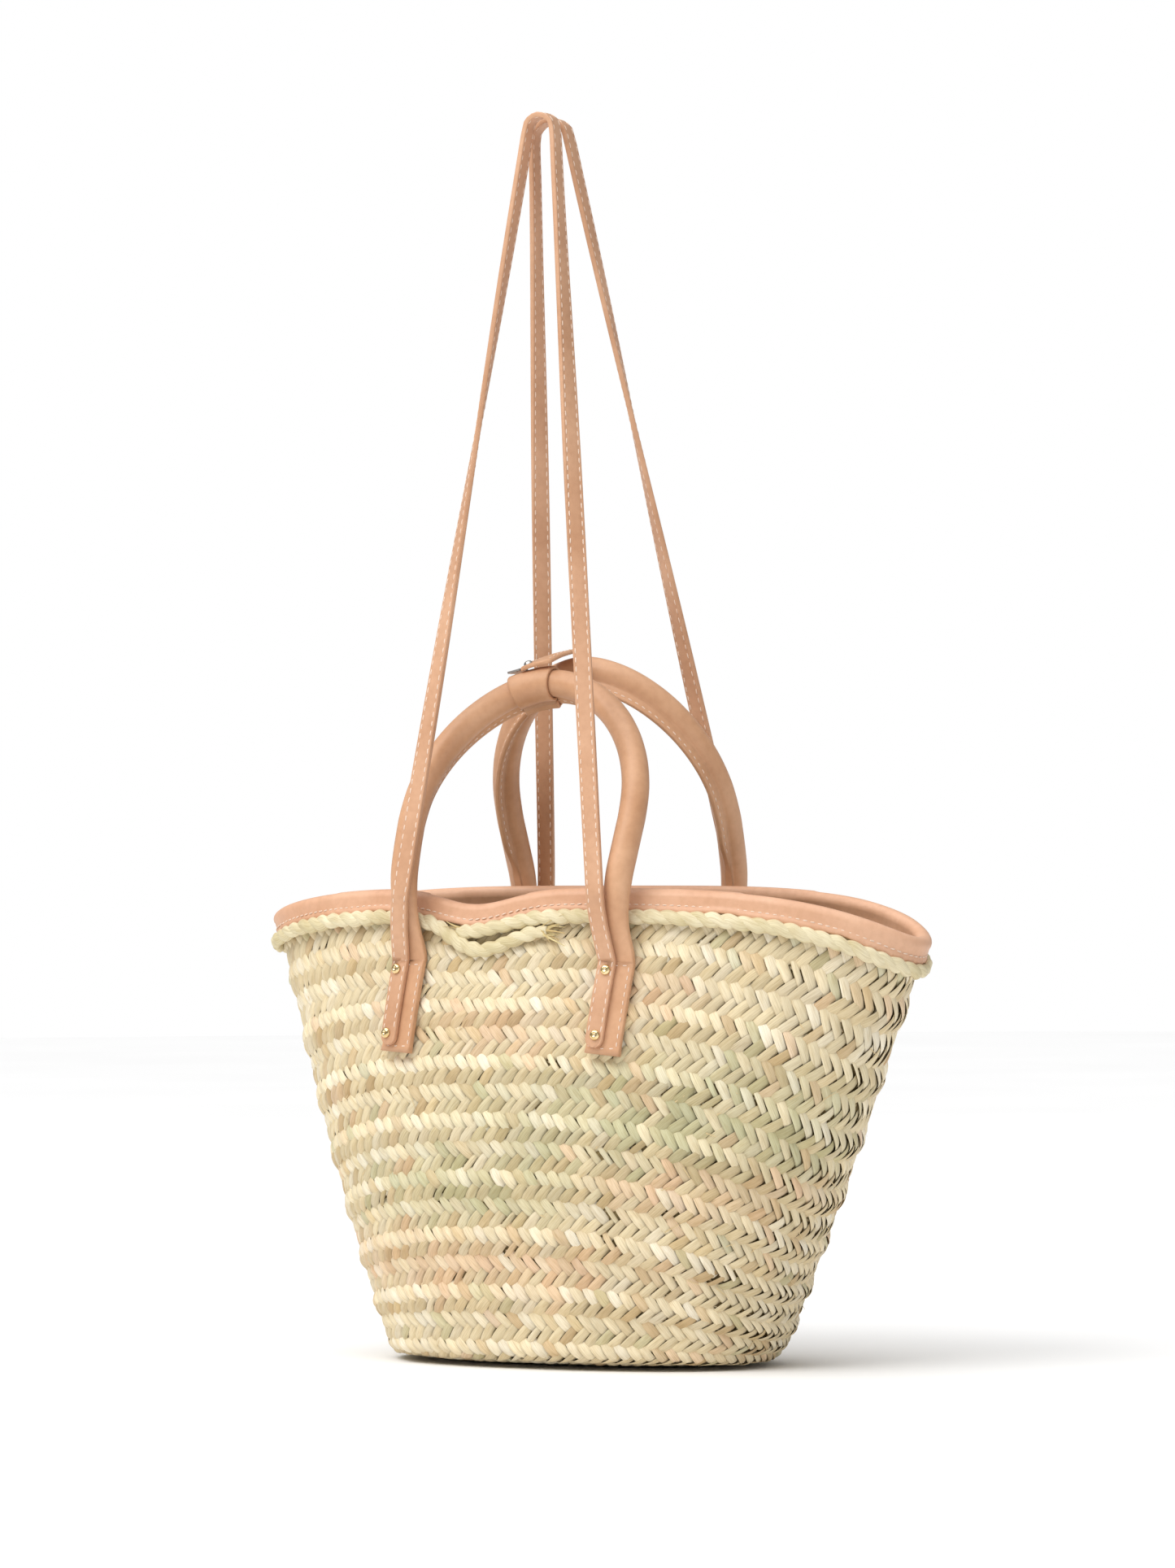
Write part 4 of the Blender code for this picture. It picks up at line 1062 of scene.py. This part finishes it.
def strap_end_frames(side, anchor_x, sense):
    """The strap's riveted end, lying on its tab, as frames from the rounded tip up."""
    def x_at(z):
        return strap_x(tab_x(anchor_x, z, side), side)

    half = STRAP_WIDTH / 2
    tip = TAB_TOP - TAB_LENGTH + RIVET_BOTTOM_INSET - half - 0.0008
    middle = layer_offsets()[2] + STRAP_THICKNESS / 2
    frames = []
    for z in np.concatenate([tip + np.array([0, 0.0003, 0.0009, 0.0018, 0.003, 0.0045]),
                             np.linspace(tip + 0.008, TAB_TOP - 0.0002, 12)]):
        outward = wall_normal(side_point(x_at(z), z, side))
        short = 1 - min(1.0, (z - tip) / half)
        frames.append([side_point(x_at(z), z, side, middle), outward,
                       unit(np.cross(uphill(x_at, z, side) * sense, outward)),
                       half * max(0.25, math.sqrt(1 - short ** 2))])
    return frames


def strap_frames(side):
    """Centre, facing and wide directions and half width along a whole strap."""
    line, shoulder_z, peak_x = strap_line(side)
    frames = []
    for centre, ahead in zip(line, unit(np.gradient(line, axis=0))):
        ahead = start_upright(centre, ahead)
        turn = float(smooth((centre[2] - HEIGHT) / (shoulder_z - HEIGHT))) * math.pi / 2
        away = unit(np.array([centre[0] - peak_x, 0, max(0.0, centre[2] - shoulder_z)]))
        facing = np.array([0, -math.cos(turn), 0]) + away * math.sin(turn)
        facing = unit(facing - ahead * facing.dot(ahead))
        frames.append([centre, facing, np.cross(ahead, facing), STRAP_WIDTH / 2])
    return with_ends(frames, side, strap_end_frames)


def strap_outline(half_width):
    """Rounded edges, a slightly crowned face and a shallow channel under each row of stitches."""
    scale = STRAP_FULLNESS * half_width / STRAP_HALF_MM
    half = STRAP_THICKNESS / 2
    face = np.array(both_ways([(0, 1.05), (1.6, 1.04), (3.05, 0.99), (3.5, 0.86), (3.95, 0.99), (4.55, 1.0),
                               (4.86, 0.86), (STRAP_HALF_MM, 0.45)]))
    return np.concatenate([face * (scale, half), face[::-1] * (scale, -half)])


def make_strap(label, side):
    frames = strap_frames(side)
    rings = []
    for centre, facing, wide, half_width in frames:
        pairs = strap_outline(half_width)
        rings.append(centre + pairs[:, :1] * wide + pairs[:, 1:] * facing)
    leather = swept(label + "_leather", rings, STRAP_HIDE)
    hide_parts(label, *(f"{label.split('_')[0]}_{end}_strap_end" for end in ("left", "right")))
    bend_with(leather, side)
    places = []
    for row, phase in ((-STRAP_SEAM, 0.0), (STRAP_SEAM, 0.25)):
        for face in (1, -1):
            lift = face * STRAP_THICKNESS / 2 * 0.93
            line = np.array([centre + wide * row + facing * lift for centre, facing, wide, _ in frames[6:-6]])
            out = np.array([item[1] * face for item in frames[6:-6]])
            places += dashes_on(line, out, STRAP_PITCH, phase)
    thread = stitches(label + "_stitches", places, *STRAP_STITCH)
    bend_with(thread, side)


# ---------------------------------------------------------------- rivets

def make_rivets():
    """Polished pale-gold domes on the strap ends."""
    far = layer_offsets()[3] + SNUG
    for side_name, side in (("front", FRONT), ("back", BACK)):
        for end_name, anchor_x in (("left", -ANCHOR_X), ("right", ANCHOR_X)):
            for level, z in (("upper", TAB_TOP - RIVET_TOP_INSET),
                             ("lower", TAB_TOP - TAB_LENGTH + RIVET_BOTTOM_INSET)):
                foot = side_point(strap_x(tab_x(anchor_x, z, side), side), z, side)
                outward = wall_normal(foot)
                sideways = unit(np.cross(outward, np.array([0, 0, 1.0])))
                made = dome(f"rivet_{side_name}_{end_name}_{level}", foot + outward * far, outward, sideways,
                            np.cross(sideways, outward), RIVET_PROFILE, GOLD)
                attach(made, "basket")
                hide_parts(f"{side_name}_{end_name}_{level}_rivet")


# ---------------------------------------------------------------- keeper

FLAP_WIDTH, FLAP_LENGTH, FLAP_THICKNESS = 0.022, 0.046, 0.0025
FLAP_SHIFT, FLAP_RISE, FLAP_HINGE_BACK = 0.006, math.radians(10), 0.007
STUD_INSET = 0.0048
STUD_PROFILE = ((0.0, 0.0019), (0.0009, 0.00182), (0.0017, 0.0015), (0.0023, 0.0010), (0.0027, 0.0003),
                (0.0029, -0.0002), (0.0029, -0.0006))


def keeper_axes():
    """Middle, along, up and across directions at the keeper."""
    line = curve_through(handle_line(FRONT), 8)
    arch = line[line[:, 2] > ARCH_START_Z]
    i = 1 + int(np.argmin(np.abs(arch[1:-1, 0] - KEEPER_X)))
    along = unit((arch[i + 1] - arch[i - 1]) * np.array([1, 0, 1]))
    up = np.array([-along[2], 0, along[0]])
    return turned_to(FRONT, np.array([arch[i], along, up, [0, 1, 0]]))


def make_sleeve():
    """A rounded leather ring round the front handle."""
    frames = [item for item in handle_frames(FRONT) if item[0][2] > ARCH_START_Z
              and abs(item[0][0] - KEEPER_X + 0.0003) <= SLEEVE_LENGTH / 2 + 0.004]
    own_x = np.array([item[0][0] for item in frames])
    low, high = KEEPER_X - SLEEVE_LENGTH / 2, KEEPER_X + SLEEVE_LENGTH / 2
    edge = np.array([0, 0.00035, 0.0009])
    wanted = np.concatenate([low + edge, np.linspace(low + 0.002, high - 0.002, 12), high - edge[::-1]])
    soft = [0.45, 0.80] + [1.0] * 14 + [0.80, 0.45]
    outer, inner = [], []
    for place, full in zip(wanted, soft):
        axes = [value_at(place, own_x, np.array([item[k] for item in frames])) for k in range(3)]
        for store, grow in ((outer, SLEEVE_CLEARANCE + SLEEVE_LEATHER * (0.35 + 0.65 * full)),
                            (inner, SLEEVE_CLEARANCE * 0.6)):
            radius = HANDLE_DIAMETER / 2 + grow
            store.append(outline_ring([*axes, radius, radius, 1.0, HANDLE_FLANGE], grow))
    made = swept("keeper_sleeve_leather", outer + inner[::-1], HIDE, closed=True)
    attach(made, "front_handle")
    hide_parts("keeper_sleeve")


def flap_half_width(t):
    """Half the flap's width at t back from its front edge, with its rounded corners."""
    from_end = min(t, FLAP_LENGTH - t)
    corner = 0.003 if t < FLAP_LENGTH / 2 else 0.008
    if from_end >= corner:
        return FLAP_WIDTH / 2
    return FLAP_WIDTH / 2 - corner + math.sqrt(corner ** 2 - (corner - from_end) ** 2)


def make_keeper():
    """The flap with its stitches and stud, over the sleeve."""
    middle, along, up, across = keeper_axes()
    make_sleeve()
    sleeve = HANDLE_DIAMETER / 2 + SLEEVE_CLEARANCE + SLEEVE_LEATHER
    rise = (sleeve + 2 * SNUG - FLAP_HINGE_BACK * math.sin(FLAP_RISE)) / math.cos(FLAP_RISE)
    hinge = middle + along * FLAP_SHIFT + up * rise - across * FLAP_HINGE_BACK
    outward = across * math.cos(FLAP_RISE) + up * math.sin(FLAP_RISE)
    lift = up * math.cos(FLAP_RISE) - across * math.sin(FLAP_RISE)

    def flap_point(s, t, h):
        """s along the front edge, t back from it, h above the underside."""
        curl = 0.0013 * math.sin(math.pi * min(1.0, t / FLAP_LENGTH)) - 0.0008 * (2 * s / FLAP_WIDTH) ** 2
        return hinge + along * s + outward * t + lift * (h + curl)

    upper = both_ways([(0, 1.0), (0.4, 1.0), (0.80, 0.97), (0.90, 0.94), (0.97, 0.72), (1, 0.25)])
    lower = [(0.97, 0.04), (0.9, 0), (0.4, 0), (-0.4, 0), (-0.9, 0), (-0.97, 0.04)]
    front_edge = [0.00002, 0.0004, 0.0010, 0.0020, 0.0032]
    back_edge = FLAP_LENGTH - np.array([0.0072, 0.0055, 0.004, 0.0026, 0.0014, 0.0005, 0.00003])
    stops = np.concatenate([front_edge, np.linspace(0.005, FLAP_LENGTH - 0.009, 14), back_edge])
    rings = [[flap_point(s * flap_half_width(t), t, h * FLAP_THICKNESS) for s, h in upper + lower]
             for t in stops]
    flap = swept("keeper_flap_leather", rings, HIDE)
    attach(flap, "keeper_flap")
    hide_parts("keeper_flap")
    seam = [(flap_half_width(t) - 0.0022, t) for t in np.linspace(0.003, FLAP_LENGTH - 0.003, 24)]
    seam += [(-s, t) for s, t in seam[::-1]]
    line = np.array([flap_point(s, t, FLAP_THICKNESS * 0.97) for s, t in seam])
    places = dashes_on(line, np.tile(lift, (len(line), 1)), HANDLE_PITCH)
    thread = stitches("keeper_flap_stitches", places, *LEATHER_STITCH)
    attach(thread, "keeper_flap")
    stud = hinge - along * (FLAP_WIDTH / 2 - STUD_INSET) + outward * STUD_INSET + lift * FLAP_THICKNESS
    cap = dome("keeper_stud_dome", stud, lift, along, outward, STUD_PROFILE, STEEL)
    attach(cap, "keeper_flap")
    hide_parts("keeper_stud")


# ---------------------------------------------------------------- carried-over CAD nodes

def dress_cad_nodes():
    for name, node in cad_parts.items():
        if name.endswith("backing_patch"):
            look = PATCH_HIDE
        elif name.endswith("burr"):
            look = GOLD
        elif name.endswith("rope_core"):
            look = COTTON
        elif name == "keeper_plate":
            look = STEEL
        else:
            continue
        for item in node.material_slots:
            item.material = look


# ---------------------------------------------------------------- studio

FOCAL = 8065
DISTANCE, AZIMUTH, CAMERA_HEIGHT = 3.8468, math.radians(28.02), 0.3144
SIDE_SHIFT, PITCH_DOWN, ROLL = 0.0100, math.radians(-0.348), math.radians(-0.329)
IMAGE_WIDTH, SENSOR_WIDTH = 1445, 36
AMBIENT = 0.30
FLOOR_RADII = (0.0001, 2.5, 5.0, 6.0)


def make_camera():
    lens = bpy.data.cameras.new("camera")
    lens.sensor_fit = "HORIZONTAL"
    lens.sensor_width = SENSOR_WIDTH
    lens.lens = FOCAL * SENSOR_WIDTH / IMAGE_WIDTH
    lens.clip_start, lens.clip_end = 0.1, 30
    camera = bpy.data.objects.new("camera", lens)
    right = Vector((math.cos(AZIMUTH), math.sin(AZIMUTH), 0))
    ahead = Vector((-math.sin(AZIMUTH) * math.cos(PITCH_DOWN), math.cos(AZIMUTH) * math.cos(PITCH_DOWN),
                    -math.sin(PITCH_DOWN)))
    up = right.cross(ahead)
    rolled = right * math.cos(ROLL) + up * math.sin(ROLL)
    up = up * math.cos(ROLL) - right * math.sin(ROLL)
    place = Vector((DISTANCE * math.sin(AZIMUTH), -DISTANCE * math.cos(AZIMUTH), CAMERA_HEIGHT))
    place += right * SIDE_SHIFT
    camera.matrix_world = Matrix((rolled, up, -ahead)).transposed().to_4x4()
    camera.location = place
    bpy.context.scene.collection.objects.link(camera)
    bpy.context.scene.camera = camera


def area_light(name, place, target, size, power, colour=(1, 1, 1)):
    data = bpy.data.lights.new(name, "AREA")
    data.shape = "RECTANGLE"
    data.size, data.size_y = size
    data.energy = power
    data.color = colour
    lamp = bpy.data.objects.new(name, data)
    lamp.location = place
    lamp.rotation_euler = (Vector(target) - Vector(place)).to_track_quat("-Z", "Y").to_euler()
    bpy.context.scene.collection.objects.link(lamp)


def sun_light(name, power, spread, tilt):
    data = bpy.data.lights.new(name, "SUN")
    data.energy = power
    data.angle = spread
    lamp = bpy.data.objects.new(name, data)
    lamp.rotation_euler = tilt
    bpy.context.scene.collection.objects.link(lamp)


def make_world():
    """Plain white to the camera, dimmer as a light."""
    world = bpy.data.worlds.new("studio")
    bpy.context.scene.world = world
    world.use_nodes = True
    tree = world.node_tree
    background = tree.nodes["Background"]
    background.inputs["Color"].default_value = (1.0, 1.0, 1.0, 1.0)
    strength = tree.nodes.new("ShaderNodeMapRange")
    strength.inputs["To Min"].default_value = AMBIENT
    strength.inputs["To Max"].default_value = 1.0
    seen = tree.nodes.new("ShaderNodeLightPath").outputs["Is Camera Ray"]
    tree.links.new(seen, strength.inputs["Value"])
    tree.links.new(strength.outputs["Result"], background.inputs["Strength"])


def make_floor():
    n = Nodes("studio_floor")
    fleck = n.texture("Noise", n.place(), Scale=3.0)
    colour = n.ramp(fleck, [(0.3, (0.93, 0.93, 0.93)), (0.7, (0.95, 0.95, 0.95))])
    look = n.finish(colour, n.spread(fleck, 0.75, 0.85))
    angle = np.linspace(0, 2 * math.pi, 65)
    circle = np.stack([np.cos(angle), np.sin(angle), 0 * angle], -1)
    rings = np.array([circle * radius for radius in FLOOR_RADII])
    grid_mesh("floor", rings[None], np.zeros((1, *rings.shape[:2], 2)), look)


def make_studio():
    bpy.context.scene.view_settings.view_transform = "Standard"
    make_world()
    make_floor()
    area_light("key", (-0.9, -2.2, 2.6), (0, 0, 0.25), (2.2, 1.8), 40, (1.0, 0.99, 0.97))
    area_light("fill", (2.4, -1.6, 1.0), (0, 0, 0.3), (1.4, 1.8), 7)
    sun_light("sky", 2.55, math.radians(75), (math.radians(14), math.radians(-10), 0))


make_camera()
make_studio()
make_weave()
make_edge_rope()
make_binding()
for handle_name, where in (("front_handle", FRONT), ("back_handle", BACK)):
    make_handle(handle_name, where)
for strap_name, where in (("front_strap", FRONT), ("back_strap", BACK)):
    make_strap(strap_name, where)
make_rivets()
make_keeper()
dress_cad_nodes()
